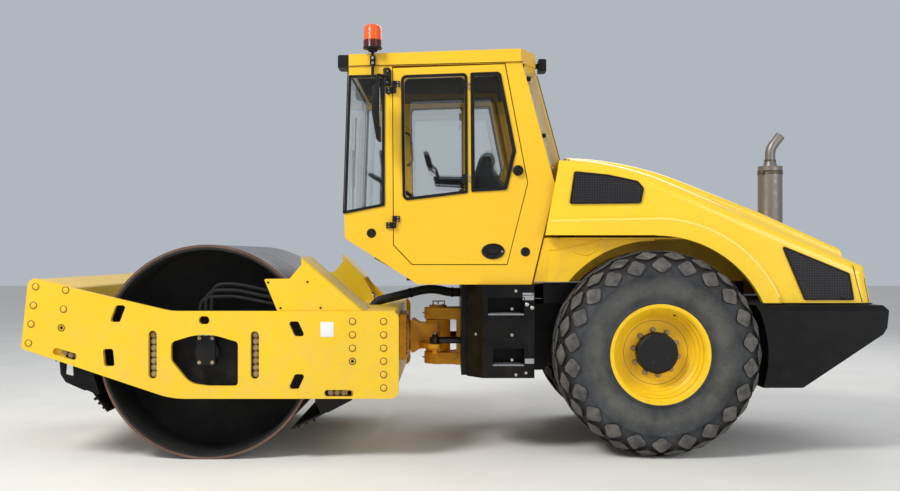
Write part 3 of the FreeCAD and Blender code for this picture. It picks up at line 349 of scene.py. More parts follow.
def rubber(name, rgb=(14, 14, 15), rough=0.55):
    g = Graph(name)
    soil = g.clouds(24, 6, 0.7, 0.5, 0.78)
    colour = g.mix(g.times(soil, 0.15), rgb, (96, 86, 74))
    return g.shade(colour, g.span(soil, 0, 1, rough, 0.85), g.bump(g.noise(220, 3), 0.0006, 0.6), shine=0.25)


def moulded(name, rgb, rough=0.45, grain=240, depth=0.0006):
    """Moulded plastic with a fine pebble grain."""
    g = Graph(name)
    soil = g.clouds(11, 6, 0.65, 0.5, 0.8)
    colour = g.mix(g.times(soil, 0.06), rgb, (110, 102, 92))
    return g.shade(colour, g.span(g.noise(5, 3), 0.3, 0.7, rough, rough + 0.12), g.bump(g.cells(grain), depth, 0.5),
                   shine=0.25)


def glass_pane():
    """Slightly green laminated glass with a haze of dust."""
    g = Graph("window_glass")
    haze = g.clouds(4, 7, 0.65, 0.45, 0.85)
    g.shade(g.mix(g.times(haze, 0.2), (214, 228, 222), (196, 188, 172)), g.span(haze, 0, 1, 0.01, 0.08), None,
            shine=0.6, IOR=1.45, Transmission_Weight=1.0, Alpha=g.span(haze, 0, 1, 0.22, 0.32))
    g.material.surface_render_method = "BLENDED"
    return g.material


def bare_metal(name, rgb, rough=0.4, stain=(96, 74, 56), share=0.4, metal=0.9):
    g = Graph(name)
    spots = g.clouds(10, 8, 0.7, 0.45, 0.75, 0.5)
    colour = g.mix(g.times(spots, share), rgb, stain)
    return g.shade(colour, g.span(spots, 0, 1, rough, rough + 0.3), g.bump(g.noise(90, 5, 0.7), 0.0006, 0.5),
                   Metallic=g.span(spots, 0, 1, metal, metal * 0.4))


def vent_mesh():
    """Black expanded mesh: rows of small open diamonds, coloured near-black as painted shade seen through them."""
    g = Graph("vent_mesh")
    x, y, z = g.axes()
    u = g.plus(x, y)
    wave = math.pi / 0.018
    # painted shade: the open diamonds are near-black, as the shade seen through them
    hole_shade = g.span(g.weave(g.times(g.plus(u, z), wave), g.times(g.minus(u, z), wave)), 0.05, 0.35)
    colour = g.mix(hole_shade, (40, 40, 43), (1, 1, 1))
    soil = g.clouds(6, 6, 0.5, 0.5, 0.8)
    colour = g.mix(g.times(soil, 0.03), colour, DUST)
    return g.shade(colour, 0.45, g.bump(hole_shade, -0.003, 0.9), shine=0.3)


def seat_cloth():
    g = Graph("seat_cloth")
    x, y, z = g.axes()
    weave = g.weave(g.times(g.plus(x, z), 900), g.times(y, 900))
    worn = g.clouds(6, 5, 0.5, 0.4, 0.75)
    colour = g.mix(g.times(worn, 0.5), (34, 35, 38), (66, 66, 68))
    return g.shade(colour, 0.92, g.bump(weave, 0.0007, 0.7), Sheen_Weight=0.4)


def woven_sleeve():
    """Black nylon sleeve woven round the hose bundle."""
    g = Graph("woven_sleeve")
    x, y, z = g.axes()
    angle = g.math("ARCTAN2", g.minus(z, 1.12), y)
    weave = g.weave(g.plus(g.times(x, 700), g.times(angle, 26)), g.minus(g.times(x, 700), g.times(angle, 26)))
    soil = g.clouds(9, 6, 0.7, 0.5, 0.8)
    return g.shade(g.mix(g.times(soil, 0.3), (20, 20, 22), (92, 82, 68)), 0.7, g.bump(weave, 0.0008, 0.6))


def lens(name, rgb, ribs=0.008):
    g = Graph(name)
    lit = linear(rgb)
    dim = tuple(c * 0.8 for c in lit[:3]) + (1,)
    _, _, z = g.axes()
    rib = g.math("SINE", g.times(z, 2 * math.pi / ribs))
    return g.shade(g.mix(g.clouds(9, 4, 0.5, 0.3, 0.7), lit, dim), 0.18, g.bump(rib, 0.0008, 0.6),
                   Transmission_Weight=0.25, Emission_Color=lit, Emission_Strength=0.12)


def beacon_amber():
    """Orange dome over a darker red band."""
    g = Graph("amber_lens")
    _, _, z = g.axes()
    upper = g.span(z, 2.960, 2.966)
    rib = g.math("SINE", g.times(z, 900))
    colour = g.mix(upper, (78, 24, 18), (244, 98, 26))
    return g.shade(colour, 0.16, g.bump(rib, 0.0006, 0.5), Transmission_Weight=0.2, Emission_Color=colour,
                   Emission_Strength=0.04)


YELLOW = paint("yellow_paint", (240, 196, 20), rough=0.32, dust=0.28, coat=0.25)
CAB_YELLOW = paint("cab_yellow_paint", (243, 191, 26), rough=0.30, dust=0.18, coat=0.35)
HOOD_YELLOW = paint("hood_yellow_paint", (250, 206, 34), rough=0.26, dust=0.16, coat=0.4)
# painted highlight: the pale yellow stands for the light caught along the hood's crease
HOOD_CREASE_HIGHLIGHT = paint("hood_crease_painted_highlight", (252, 222, 92), rough=0.3, dust=0.05, coat=0.3)
RIM_YELLOW = rim_paint()
OCHRE = cast("ochre_casting", (248, 178, 30))
BEAM = beam_paint()
BLACK = paint("black_paint", (8, 8, 9), rough=0.36, dust=0.04, shine=0.18)
CHARCOAL = paint("charcoal_paint", (8, 9, 12), rough=0.34, dust=0.02, peel=0.001, shine=0.2)
STEEL = drum_steel()
TYRE = tyre_rubber()
TREAD = tread_rubber()
HOSE = rubber("hose_rubber")
SEAL = rubber("seal_rubber", (9, 9, 10), 0.5)
PLASTIC = moulded("black_plastic", (13, 13, 14))
GLASS = glass_pane()
EXHAUST = bare_metal("exhaust_steel", (132, 126, 122), 0.4, (96, 84, 76), 0.4, 0.7)
CHROME = bare_metal("rod_chrome", (205, 205, 208), 0.14, (120, 110, 96), 0.15, 1.0)
IRON = cast("engine_iron", (70, 72, 74), 0.6)
MESH = vent_mesh()
CLOTH = seat_cloth()
AMBER = beacon_amber()
# painted shade: the motor and mounts in the drum end are darkened to near-black
SHADED_MOTOR = paint("motor_painted_shade", (17, 18, 20), rough=0.5, dust=0.06, peel=0.001, shine=0.2)
ARCH = arch_paint()
BOLT = bare_metal("bolt_steel", (172, 154, 118), 0.42, (104, 80, 50), 0.5, 0.35)
ROD = bare_metal("dark_rod", (58, 54, 50), 0.28, (92, 68, 44), 0.4, 0.9)
DARK_BOLT = bare_metal("black_oxide", (34, 34, 35), 0.4, (70, 58, 46), 0.3, 0.6)
FITTING = bare_metal("zinc_fitting", (190, 188, 180), 0.28, (128, 112, 88), 0.3, 0.95)
TREAD_PLATE = bare_metal("tread_plate", (150, 152, 154), 0.34, (96, 88, 76), 0.35, 0.9)
EXHAUST_DARK = bare_metal("clamp_steel", (96, 86, 76), 0.45, (80, 58, 42), 0.6, 0.7)
MIRROR = bare_metal("mirror_silver", (225, 228, 230), 0.03, (190, 192, 194), 0.05, 1.0)
SLEEVE = woven_sleeve()
# painted shade: near-black for holes, the tail pipe's mouth and panel gaps, where only shade is
SHADE_BLACK = moulded("painted_shade_black", (9, 9, 10), 0.7)
# painted shade: brown of the shaded counterbores round the yoke's bolt heads and holes
RECESS_SHADE = moulded("bolt_recess_painted_shade", (138, 100, 38), 0.7, 160)
LABEL_WHITE = moulded("label_white", (226, 228, 228), 0.35, 400, 0.0002)
LABEL_GREY = moulded("label_grey", (150, 152, 154), 0.35, 400, 0.0002)
LINING = moulded("lining_grey", (40, 40, 42), 0.85, 160, 0.001)
RED_LENS = lens("red_lens", (170, 16, 12))
CLEAR_LENS = lens("clear_lens", (222, 228, 230), 0.012)

# Material and the CAD nodes that wear it
FINISH = (
    (BLACK, "chassis rear_axle tow_eye side_tanks firewall cab_floor scraper_front scraper_rear "
            "steer_barrel_left steer_barrel_right"),
    (IRON, "engine_block"),
    (CHARCOAL, "counterweight"),
    (ARCH, "inner_arches"),
    (CAB_YELLOW, "cab_nose cab_rear_frame cab_roof cab_sides door_left door_right"),
    (GLASS, "cab_glass door_glass_left door_glass_right"),
    (PLASTIC, "seat_base steering_column side_console mirrors work_lamps beacon_base"),
    (CLOTH, "seat_cushions"),
    (EXHAUST, "exhaust"),
    (OCHRE, "hitch_fork hitch_neck"),
    (AMBER, "beacon_lens"),
    (RIM_YELLOW, "rim_left rim_right"),
    (TYRE, "tyre_left tyre_right"),
    (YELLOW, "yoke_sides yoke_front_beam cover_left cover_right"),
    (BEAM, "yoke_rear_beam"),
    (SHADED_MOTOR, "drum_mounts"),
    (HOSE, "drum_hoses hitch_hoses"),
    (STEEL, "drum"),
    (ROD, "steer_rod_left steer_rod_right"),
    (HOOD_YELLOW, "hood"),
    (MESH, "hood_vents"),
)


def finish_nodes():
    for material, names in FINISH:
        for name in names.split():
            mesh = nodes[name].data
            mesh.materials.clear()
            mesh.materials.append(material)
            for poly in mesh.polygons:
                poly.material_index = 0


def spot(plane, u, v, w):
    """Point (u, v) of an outline at height w over its plane."""
    if plane == "xz":
        return Vector((u, w, v))
    if plane == "yz":
        return Vector((w, u, v))
    return Vector((u, v, w))


def rounded(points, steps=5):
    """Outline with rounded corners: a third number in a point is that corner's radius."""
    out = []
    for i, p in enumerate(points):
        corner = Vector(p[:2])
        if len(p) < 3 or not p[2]:
            out.append(corner)
            continue
        back = (Vector(points[i - 1][:2]) - corner).normalized()
        ahead = (Vector(points[(i + 1) % len(points)][:2]) - corner).normalized()
        half = back.angle(ahead) / 2
        centre = corner + (back + ahead).normalized() * (p[2] / math.sin(half))
        start = corner + back * (p[2] / math.tan(half)) - centre
        turn = (math.pi - 2 * half) * (1 if back.cross(ahead) < 0 else -1)
        for k in range(steps + 1):
            out.append(centre + Matrix.Rotation(turn * k / steps, 2) @ start)
    return out


def rect(u0, v0, u1, v1, corner=0):
    """Rectangle outline between two corners, each rounded to a radius."""
    return [(u0, v0, corner), (u1, v0, corner), (u1, v1, corner), (u0, v1, corner)]


def around(u, v, count, radius, start=0.0):
    """Points spaced evenly on a circle."""
    angles = [2 * math.pi / count * k + start for k in range(count)]
    return [(u + radius * math.cos(a), v + radius * math.sin(a)) for a in angles]


def inset(outline, width):
    """The outline moved inwards, with its corner radii cut to suit; below 0 it grows."""
    pts = [Vector(p[:2]) for p in outline]
    count = len(pts)
    hand = 1 if sum(pts[i - 1].cross(pts[i]) for i in range(count)) > 0 else -1
    out = []
    for i, p in enumerate(pts):
        before = (p - pts[i - 1]).normalized()
        after = (pts[(i + 1) % count] - p).normalized()
        n1 = Vector((-before.y, before.x)) * hand
        n2 = Vector((-after.y, after.x)) * hand
        q = p + (n1 + n2) / (1 + n1.dot(n2)) * width
        radius = outline[i][2] if len(outline[i]) > 2 else 0
        out.append((q.x, q.y, max(radius - width, 1.0) if radius else 0))
    return out


def solid(bm, outline, plane, low, high, bevel=0.0, segments=2):
    """Straight solid between two heights over a plane, its rims bevelled."""
    base = [bm.verts.new(spot(plane, u, v, low)) for u, v in rounded(outline)]
    face = bm.faces.new(base)
    raised = bmesh.ops.extrude_face_region(bm, geom=[face])
    top = [v for v in raised["geom"] if isinstance(v, bmesh.types.BMVert)]
    bmesh.ops.translate(bm, verts=top, vec=spot(plane, 0, 0, high - low))
    if bevel:
        rims = set()
        for group in (set(base), set(top)):
            rims |= {e for v in group for e in v.link_edges if e.other_vert(v) in group}
        bmesh.ops.bevel(bm, geom=list(rims), offset=bevel, segments=segments, profile=0.5,
                        affect="EDGES", material=-1)


def box_solid(bm, low, high, bevel=2.0):
    """Solid between two corners."""
    solid(bm, rect(*low[:2], *high[:2]), "xy", low[2], high[2], bevel)


def join_rings(bm, rings, closed=True):
    """Quads between rings of equal length; closed joins the last ring to the first."""
    pairs = list(zip(rings, rings[1:]))
    if closed:
        pairs.append((rings[-1], rings[0]))
    for a, b in pairs:
        for i in range(len(a)):
            j = (i + 1) % len(a)
            bm.faces.new((a[i], a[j], b[j], b[i]))


def band(bm, outline, width, plane, low, high):
    """Flat rim that follows an outline on its inner side."""
    outer = rounded(outline)
    inner = rounded(inset(outline, width))
    rings = []
    for ring, w in ((outer, low), (outer, high), (inner, high), (inner, low)):
        rings.append([bm.verts.new(spot(plane, u, v, w)) for u, v in ring])
    join_rings(bm, rings)


def turned(bm, at, axis, profile, steps=24):
    """Spins a profile of (radius, height) about an axis through a point."""
    axis = Vector(axis).normalized()
    turn = Vector(UP).rotation_difference(axis).to_matrix()
    verts = [bm.verts.new(Vector(at) + turn @ Vector((r, 0, h))) for r, h in profile]
    edges = [bm.edges.new(pair) for pair in zip(verts, verts[1:])]
    bmesh.ops.spin(bm, geom=verts + edges, cent=at, axis=axis, dvec=(0, 0, 0),
                   angle=2 * math.pi, steps=steps, use_merge=True)


def disc(bm, at, axis, radius, height, edge=1.0, steps=24):
    """Flat round head with a softened edge."""
    turned(bm, at, axis, [(0, -1), (radius, -1), (radius, height - edge), (radius - edge, height), (0, height)], steps)


def bolt(bm, at, axis, size=10.0):
    """Hex head on a washer."""
    disc(bm, at, axis, size * 1.45, size * 0.25, 0.6, 14)
    turned(bm, at, axis, [(0, 0), (size, 0), (size, size * 0.66), (size * 0.85, size * 0.82), (0, size * 0.82)], 6)


def spread(bm, face, spots, maker, *shape):
    """The same round part at (x, z) spots of an upright face."""
    for x, z in spots:
        maker(bm, (x, face, z), OUT, *shape)


def bent(points, bends, steps=7):
    """Path with its inner corners rounded to the bend radii."""
    pts = [Vector(p) for p in points]
    out = [pts[0]]
    for i in range(1, len(pts) - 1):
        back = (pts[i - 1] - pts[i]).normalized()
        ahead = (pts[i + 1] - pts[i]).normalized()
        half = back.angle(ahead) / 2
        centre = pts[i] + (back + ahead).normalized() * (bends[i - 1] / math.sin(half))
        start = pts[i] + back * (bends[i - 1] / math.tan(half)) - centre
        axis = ahead.cross(back)
        for k in range(steps + 1):
            out.append(centre + Quaternion(axis, (math.pi - 2 * half) * k / steps) @ start)
    out.append(pts[-1])
    return out


def tube(bm, path, radius, sides=10, swell=None):
    """Round rod along a path; swell gives the share of the radius at each point."""
    path = [Vector(p) for p in path]
    side = (path[1] - path[0]).orthogonal()
    rings = []
    for i, p in enumerate(path):
        ahead = (path[min(i + 1, len(path) - 1)] - path[max(i - 1, 0)]).normalized()
        side = (side - ahead * side.dot(ahead)).normalized()
        up = ahead.cross(side)
        r = radius * (swell(i) if swell else 1)
        ring = []
        for k in range(sides):
            a = 2 * math.pi * k / sides
            ring.append(bm.verts.new(p + side * (r * math.cos(a)) + up * (r * math.sin(a))))
        rings.append(ring)
    join_rings(bm, rings, closed=False)
    bm.faces.new(rings[0][::-1])
    bm.faces.new(rings[-1])


def flipped(bm, keep):
    """Mirrors everything to the machine's right side; keep leaves the left one in place too."""
    verts = bm.verts[:]
    if keep:
        twin = bmesh.ops.duplicate(bm, geom=bm.verts[:] + bm.edges[:] + bm.faces[:])
        verts = [v for v in twin["geom"] if isinstance(v, bmesh.types.BMVert)]
    bmesh.ops.scale(bm, vec=(1, -1, 1), verts=verts)


def lean(bm, x, z, slope):
    """Moves a mesh drawn about x = 0 onto the slanted face through (x, z)."""
    for v in bm.verts:
        v.co.x += x + slope * (v.co.z - z)


def piece(name, bm, material, body, sharp=32):
    """Turns millimetres of mesh into a finished object that rides on a body."""
    bmesh.ops.remove_doubles(bm, verts=bm.verts, dist=0.01)
    bmesh.ops.recalc_face_normals(bm, faces=bm.faces)
    bmesh.ops.scale(bm, vec=(0.001, 0.001, 0.001), verts=bm.verts)
    mesh = bpy.data.meshes.new(name)
    bm.to_mesh(mesh)
    bm.free()
    mesh.polygons.foreach_set("use_smooth", [True] * len(mesh.polygons))
    mesh.set_sharp_from_angle(angle=math.radians(sharp))
    mesh.materials.append(material)
    obj = bpy.data.objects.new(name, mesh)
    bpy.context.scene.collection.objects.link(obj)
    if body:
        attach(obj, body)
    return obj


def add(name, material, body, *parts, both=True, stands_for=None, sharp=32):
    """Makes a piece of parts, each a build(bm) or a maker with its values. It is mirrored to both sides, or
    made for each side's body where body has a {}."""
    for side, hand in SIDES if "{}" in body else (("", 1),):
        bm = bmesh.new()
        for part in parts:
            maker, *values = part if isinstance(part, tuple) else (part,)
            maker(bm, *values)
        if side and hand < 0:
            flipped(bm, keep=False)
        elif both and not side:
            flipped(bm, keep=True)
        obj = piece(name + "_" * bool(side) + side, bm, material, body.format(side), sharp)
        if stands_for:
            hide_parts(stands_for.format(side))
    return obj


# Buffer columns of the yoke
BUFFERS = (1410, 2115)


def yoke_bolting():
    """Heads in the side plates with rings of painted shade for their recesses, near-black patches of painted shade for
    holes, bolt rows in their slots, weld beads, plates.
    """
    face = 1150
    heads = [(2921, 1208), (2937, 1079), (2953, 950), (2971, 819), (2714, 1184), (2729, 1053)]
    heads += [(521, z) for z in (968, 876, 784, 694, 602, 510)] + [(736, z) for z in (968, 876, 784)]
    plugs = [(2744, 925), (736, 694)]
    spun = [(17, -1), (26, -1), (26, 1.2), (23, 2.2), (17, 2.2)]

    def beads(bm):
        front = [(2690, 1203, 20), (2962, 1264, 20), (3010, 790, 20), (2730, 700, 20)]
        for outline in (front, rect(450, 460, 790, 1035)):
            band(bm, inset(outline, -6), 9, "xz", 1102, 1109.5)

    # painted shade: brown rings for the recesses round the heads and holes
    add("yoke_bolt_rings", RECESS_SHADE, "front_frame", (spread, face, heads + plugs, turned, spun + spun[:1], 28))
    add("yoke_bolt_heads", YELLOW, "front_frame",
            (spread, face, heads, turned, [(0, 6.5), (9, 6.5), (14, 5.5), (18.5, 2.5), (18.5, -1), (0, -1)], 24))
    # painted shade: near-black patches for two holes and a slot in the side plate
    add("yoke_hole_shades", SHADE_BLACK, "front_frame", (spread, face, plugs, disc, 11, 1.5),
            (solid, rect(752, 462, 770, 484, 10), "xz", 1109, 1113, 1))
    add("buffer_bolts", BOLT, "front_frame",
            (spread, 1110, [(x, 602 + 45.3 * i) for x in BUFFERS for i in range(7)], bolt, 15),
            (spread, 1110, ((2736, 751), (2691, 735), (2646, 722), (890, 473), (845, 473), (800, 473)), bolt, 14))
    add("beam_welds", YELLOW, "front_frame", beads)
    add("blank_number_plate", LABEL_WHITE, "front_frame",
            (solid, rect(867, 862, 957, 965, 5), "xz", 1149.5, 1151.4, 0.5), both=False)


def drum_end():
    """Rubber buffers, hub and motor bolts, hose collars and cover screws."""
    def collars(bm):
        shape = [(14.5, -2), (22, -2), (22, 14), (19, 16), (19, 34), (17, 38), (14.5, 38)]
        for x, y, z in [(740, y, 1035) for y in (1086, 1050, 1014)] + [(x, 1086, 870) for x in (1722, 1762, 1802)]:
            turned(bm, (x, y, z), UP, shape, 16)

    def screws(bm, back=0):
        spots = ((1321, 1237), (1049, 1241), (1235, 1060), (958, 1062))
        spread(bm, 1130, [(x - back, z) for x, z in spots], disc, 8, 4, 1.5, 14)

    add("buffer_rubbers", SEAL, "front_frame", (spread, 1010, [(x, z) for x in BUFFERS for z in (618, 738, 858)],
             turned, [(50.3, 2), (54, 6), (51, 22), (53, 42), (51, 62), (54, 80), (50.3, 84)], 28))
    add("motor_bolts", BOLT, "front_frame", (spread, 900, around(1760, 750, 12, 183, math.pi / 12), bolt, 13),
            (spread, 1100, ((1715, 680), (1715, 850), (1805, 680), (1805, 850)), bolt, 9))
    add("hub_bolts", BOLT, "drum", (spread, 675, around(1760, 750, 16, 232), bolt, 12))
    add("hose_collars", FITTING, "front_frame", collars)
    add("cover_screws_left", DARK_BOLT, "front_frame", screws, both=False)
    add("cover_screws_right", DARK_BOLT, "front_frame", (screws, 112), (flipped, False), both=False)


def scraper_bolts():
    """Bolts through the clamp bars of both scrapers."""
    def build(bm):
        for foot, tip in (((2555, 490), (2442.5, 338.3)), ((935, 331), (1168.6, 215.7))):
            foot = spot("xz", *foot, 0)
            along = spot("xz", *tip, 0) - foot
            length = along.length
            along.normalize()
            across = Vector((along.z, 0, -along.x))
            if across.z > 0:
                across = -across
            for share, thick in ((0.30, 26), (0.74, 14)):
                at = foot + along * (length * share + 9) + across * thick
                for i in range(12):
                    bolt(bm, at + Vector((0, -1045 + 190 * i, 0)), across, 8)
    add("scraper_bolts", BOLT, "front_frame", build, both=False)


def hitch_details():
    """Flange, cap and clevis bolts, grease nipples, and the sleeved hoses over the joint."""
    def flange(bm):
        for i in range(8):
            bolt(bm, (403, 205, 657 + 38.9 * i), BACK, 12)

    def cap(bm):
        for x, y in around(157, 0, 4, 56, math.pi / 4):
            bolt(bm, (x, y, 1028), UP, 8)
        for z in (613, 965):
            for y in (-160, 160):
                bolt(bm, (20, y, z), AHEAD, 9)

    def nipples(bm):
        shape = [(0, 0), (7, 0), (7, 6), (4, 8), (4, 13), (5.5, 16), (0, 19)]
        turned(bm, (157, 0, 1038), UP, shape, 12)
        for z in (613, 965):
            turned(bm, (266, 0, z), AHEAD, shape, 12)

    def glands(bm):
        turned(bm, (-140, 300, 771), AHEAD, [(26.3, 0), (34, 0), (34, 8), (31, 11), (26.3, 11)], 28)
        for x in (-170, -470):
            turned(bm, (x, 300, 815), UP, [(0, 0), (13, 0), (13, 20), (10, 22), (10, 34), (0, 34)], 6)

    def ties(bm):
        shape = [(35, -9), (38.5, -9), (39.5, -6), (39.5, 6), (38.5, 9), (35, 9), (35, -9)]
        for k in (9, 60):
            turned(bm, fine[k], (fine[k + 1] - fine[k - 1]).normalized(), shape, 28)

    add("flange_bolts", BOLT, "front_frame", flange)
    add("fork_bolts", BOLT, "rear_frame", cap, both=False)
    add("grease_nipples", FITTING, "rear_frame", nipples, both=False)
    add("rod_eye_nuts", BOLT, "rod_{}",
            (turned, (177, 300, 817), UP, [(0, 0), (19, 0), (19, 13), (16, 15), (10, 15), (10, 21), (0, 22)], 6))
    add("cylinder_glands", FITTING, "barrel_{}", glands)

    path = bent([(-19.7, 0, 1130), (70, 0, 1130), (210, 0, 1166), (655, 0, 1058), (705, 0, 943)],
                (300, 400, 110), 14)
    fine = [path[0]]
    for a, b in zip(path, path[1:]):
        steps = max(1, round((b - a).length / 7))
        fine.extend(a + (b - a) * (k + 1) / steps for k in range(steps))
    sleeve = add("hitch_hose_sleeve", SLEEVE, "", (tube, fine, 35.5, 20, lambda i: 1 + 0.03 * math.sin(i * 2.1)),
            both=False, stands_for="hitch_hoses", sharp=80)
    for obj in (sleeve, add("hose_ties", SEAL, "", ties, both=False)):
        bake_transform(obj)


def wheel_details():
    """Full tyre with bevelled staggered blocks, wheel nuts, hub plugs and valve."""
    x0, y0, z0 = -1410, 792, 730  # middle of the left wheel
    wall = [(330.5, 238), (346, 252), (352, 266), (364, 272), (374, 268), (388, 271), (400, 277), (430, 284),
            (470, 290), (520, 292.5), (556, 292.5), (559, 294.5), (569, 294.5), (572, 292), (610, 289),
            (640, 285.5), (655, 281), (668, 268), (682, 244), (698, 208), (706, 190), (708, 150), (708, 40)]
    slope = math.atan2(53, 93.5)
    rows = ((40, 730, 0, 88, 66), (120, 726, 0, 88, 66),
            (236.75 + 22 * math.sin(slope), 681.5 + 22 * math.cos(slope), slope, 86, 58),
            (299, 628, math.radians(79), 78, 62))

    def lug(bm, worn, turn, half_length, half_width):
        """One worn diamond, wrapped round the tyre by turn(distance along it)."""
        cut = 0.15
        ends = [(1, 0), (0, 1), (-1, 0), (0, -1)]
        ring = []
        for (ax, ay), (bx, by) in zip(ends, ends[1:] + ends[:1]):
            ring.append((ax + (bx - ax) * cut, ay + (by - ay) * cut))
            ring.append((bx + (ax - bx) * cut, by + (ay - by) * cut))
        levels = []
        for grow, z in ((-5.0, 0), (-1.0, 1.5), (0.6, 5), (4.0, 34)):
            levels.append([bm.verts.new(turn(u * (half_length + grow)) @ Vector((0, v * (half_width + grow), z)))
                           for u, v in ring])
            for v in levels[-1]:
                v[worn] = 1.0 if z < 2 else 0.0
        join_rings(bm, levels, closed=False)
        top = levels[0]
        for corners in ((0, 1, 6, 7), (1, 2, 5, 6), (2, 3, 4, 5)):
            bm.faces.new([top[k] for k in corners])
        bm.faces.new(levels[-1][::-1])

    def tyre(bm):
        profile = [(r, -y) for r, y in wall] + [(r, y) for r, y in wall[::-1]]
        turned(bm, (x0, y0, z0), OUT, profile + profile[:1], 132)

    def blocks(bm):
        worn = bm.verts.layers.float.new("worn")
        for hand in (1, -1):
            for row, (y, radius, tilt, half_length, half_width) in enumerate(rows):
                for i in range(22):
                    a = 2 * math.pi / 22 * (i + 0.5 * ((row + (hand > 0)) % 2))

                    def turn(along):
                        return (Matrix.Translation((x0, y0, z0)) @ Matrix.Rotation(a - along / radius, 4, "Y")
                                @ Matrix.Translation((0, hand * y, -radius)) @ Matrix.Rotation(hand * tilt, 4, "X"))

                    lug(bm, worn, turn, half_length, half_width)

    def nuts(bm):
        ring = around(x0, z0, 10, 162, 0.06 * math.pi)
        spread(bm, y0 + 78, ring, disc, 22, 3, 1, 18)
        spread(bm, y0 + 78, ring, turned,
               [(0, 0), (17, 0), (17, 15), (14, 18), (10, 18), (10, 27), (8, 29), (0, 29)], 6)

    add("tyre_carcass", TYRE, "wheel_{}", tyre, stands_for="tyre_{}", sharp=40)
    add("tread_blocks", TREAD, "wheel_{}", blocks)
    add("wheel_nuts", BOLT, "wheel_{}", nuts)
    add("hub_plugs", DARK_BOLT, "wheel_{}", (spread, y0 + 170, around(x0, z0, 4, 72, 0.5), disc, 12, 3, 1.2, 16),
            (turned, (x0, y0 + 170, z0), OUT, [(0, 1), (6, 1), (6, 5), (0, 5)], 16))
    add("tyre_valve", DARK_BOLT, "wheel_{}", (turned, (x0 - 120, y0 + 143, z0 + 269), OUT, [(0, 0), (8, 0), (8, 6),
             (5, 8), (5, 26), (6.5, 27), (6.5, 36), (0, 38)], 12))


# Foot recesses: floor height and ends
STEPS = ((1002, -465, -208), (640, -465, -244))


def tank_details():
    """Step treads, blank label plates, caps and screws on the side tanks."""
    def treads(bm):
        for z, x0, x1 in STEPS:
            box_solid(bm, (x0 + 4, 735, z + 0.4), (x1 - 4, 898, z + 7), 1.5)
            for i in range(8):
                for k in range(4):
                    disc(bm, (x0 + 26 + 28 * i + 10 * (k % 2), 762 + 36 * k, z + 6.5), UP, 7, 4, 1.5, 10)

    def lips(bm):
        for z, x0, x1 in STEPS:
            solid(bm, rect(x0, z - 5, x1, z + 6, 2), "xz", 898, 903, 1.5)

    def labels(bm):
        for x, z, a, b in ((-496, 1131, 40, 26), (-503, 669, 34, 18)):
            solid(bm, rect(x - a, z - b, x + a, z + b, 3), "xz", 899, 901, 0.5)

    def screws(bm):
        spots = ((-408, 1170), (-380, 1042), (-380, 856), (-380, 678), (-408, 571), (-480, 585))
        spread(bm, 900, spots, disc, 11, 5, 2, 18)
        # one more on the slanted corner
        disc(bm, (-123, 836, 856), (15, 11, 0), 11, 4, 2, 18)

    def panels(bm):
        for z, x0, x1 in STEPS:
            band(bm, rect(x0, z, x1, z + 120, 6), -7, "xz", 899, 901.5)
        for low, high in ((565, 628), (775, 988), (1137, 1200)):
            band(bm, rect(-532, low, -178, high, 8), 5, "xz", 899, 901)

    add("step_treads", TREAD_PLATE, "rear_frame", treads)
    add("step_lips", TREAD_PLATE, "rear_frame", lips)
    add("blank_tank_labels", LABEL_GREY, "rear_frame", labels)
    add("tank_screws", FITTING, "rear_frame", screws)
    add("tank_caps", FITTING, "rear_frame", (spread, 900, ((-487, 1073), (-524, 1050)), turned, [(0, 17), (6, 17),
             (11, 14), (11, 6), (14, 4), (14, -1), (0, -1)], 20))
    add("tank_panel_edges", BLACK, "rear_frame", panels)


def exhaust_details():
    """Clamp bands with their bolts, and a near-black disc of painted shade in the mouth of the tail pipe."""
    def bands(bm):
        for z in (1452, 2118):
            turned(bm, (-2628, -420, z), UP, [(100.3, -16), (103, -16), (104.5, -13), (102.5, -6), (102.5, 6),
                                              (104.5, 13), (103, 16), (100.3, 16), (100.3, -16)], 48)
            box_solid(bm, (-2546, -352, z - 13), (-2526, -332, z + 13), 2)
            bolt(bm, (-2536, -332, z), OUT, 6)
        turned(bm, (-2628, -420, 2212), UP, [(44.3, -18), (48, -18), (48, 14), (44.3, 14), (44.3, -18)], 32)

    add("exhaust_bands", EXHAUST_DARK, "rear_frame", bands, both=False)
    # painted shade: a near-black disc in the mouth of the tail pipe
    add("exhaust_mouth_shade", SHADE_BLACK, "rear_frame", (disc, (-2713.2, -420, 2430.3), (-0.611, 0, 0.791), 37, 1.2, 0.4, 28),
            both=False)


def hood_top(x):
    """Height of the hood's shoulder line under the raised panel."""
    if x < -1520:
        return 1350 + 0.4291 * (x + 2915)
    return -73 + math.sqrt(2200 ** 2 - (x + 653.3) ** 2)


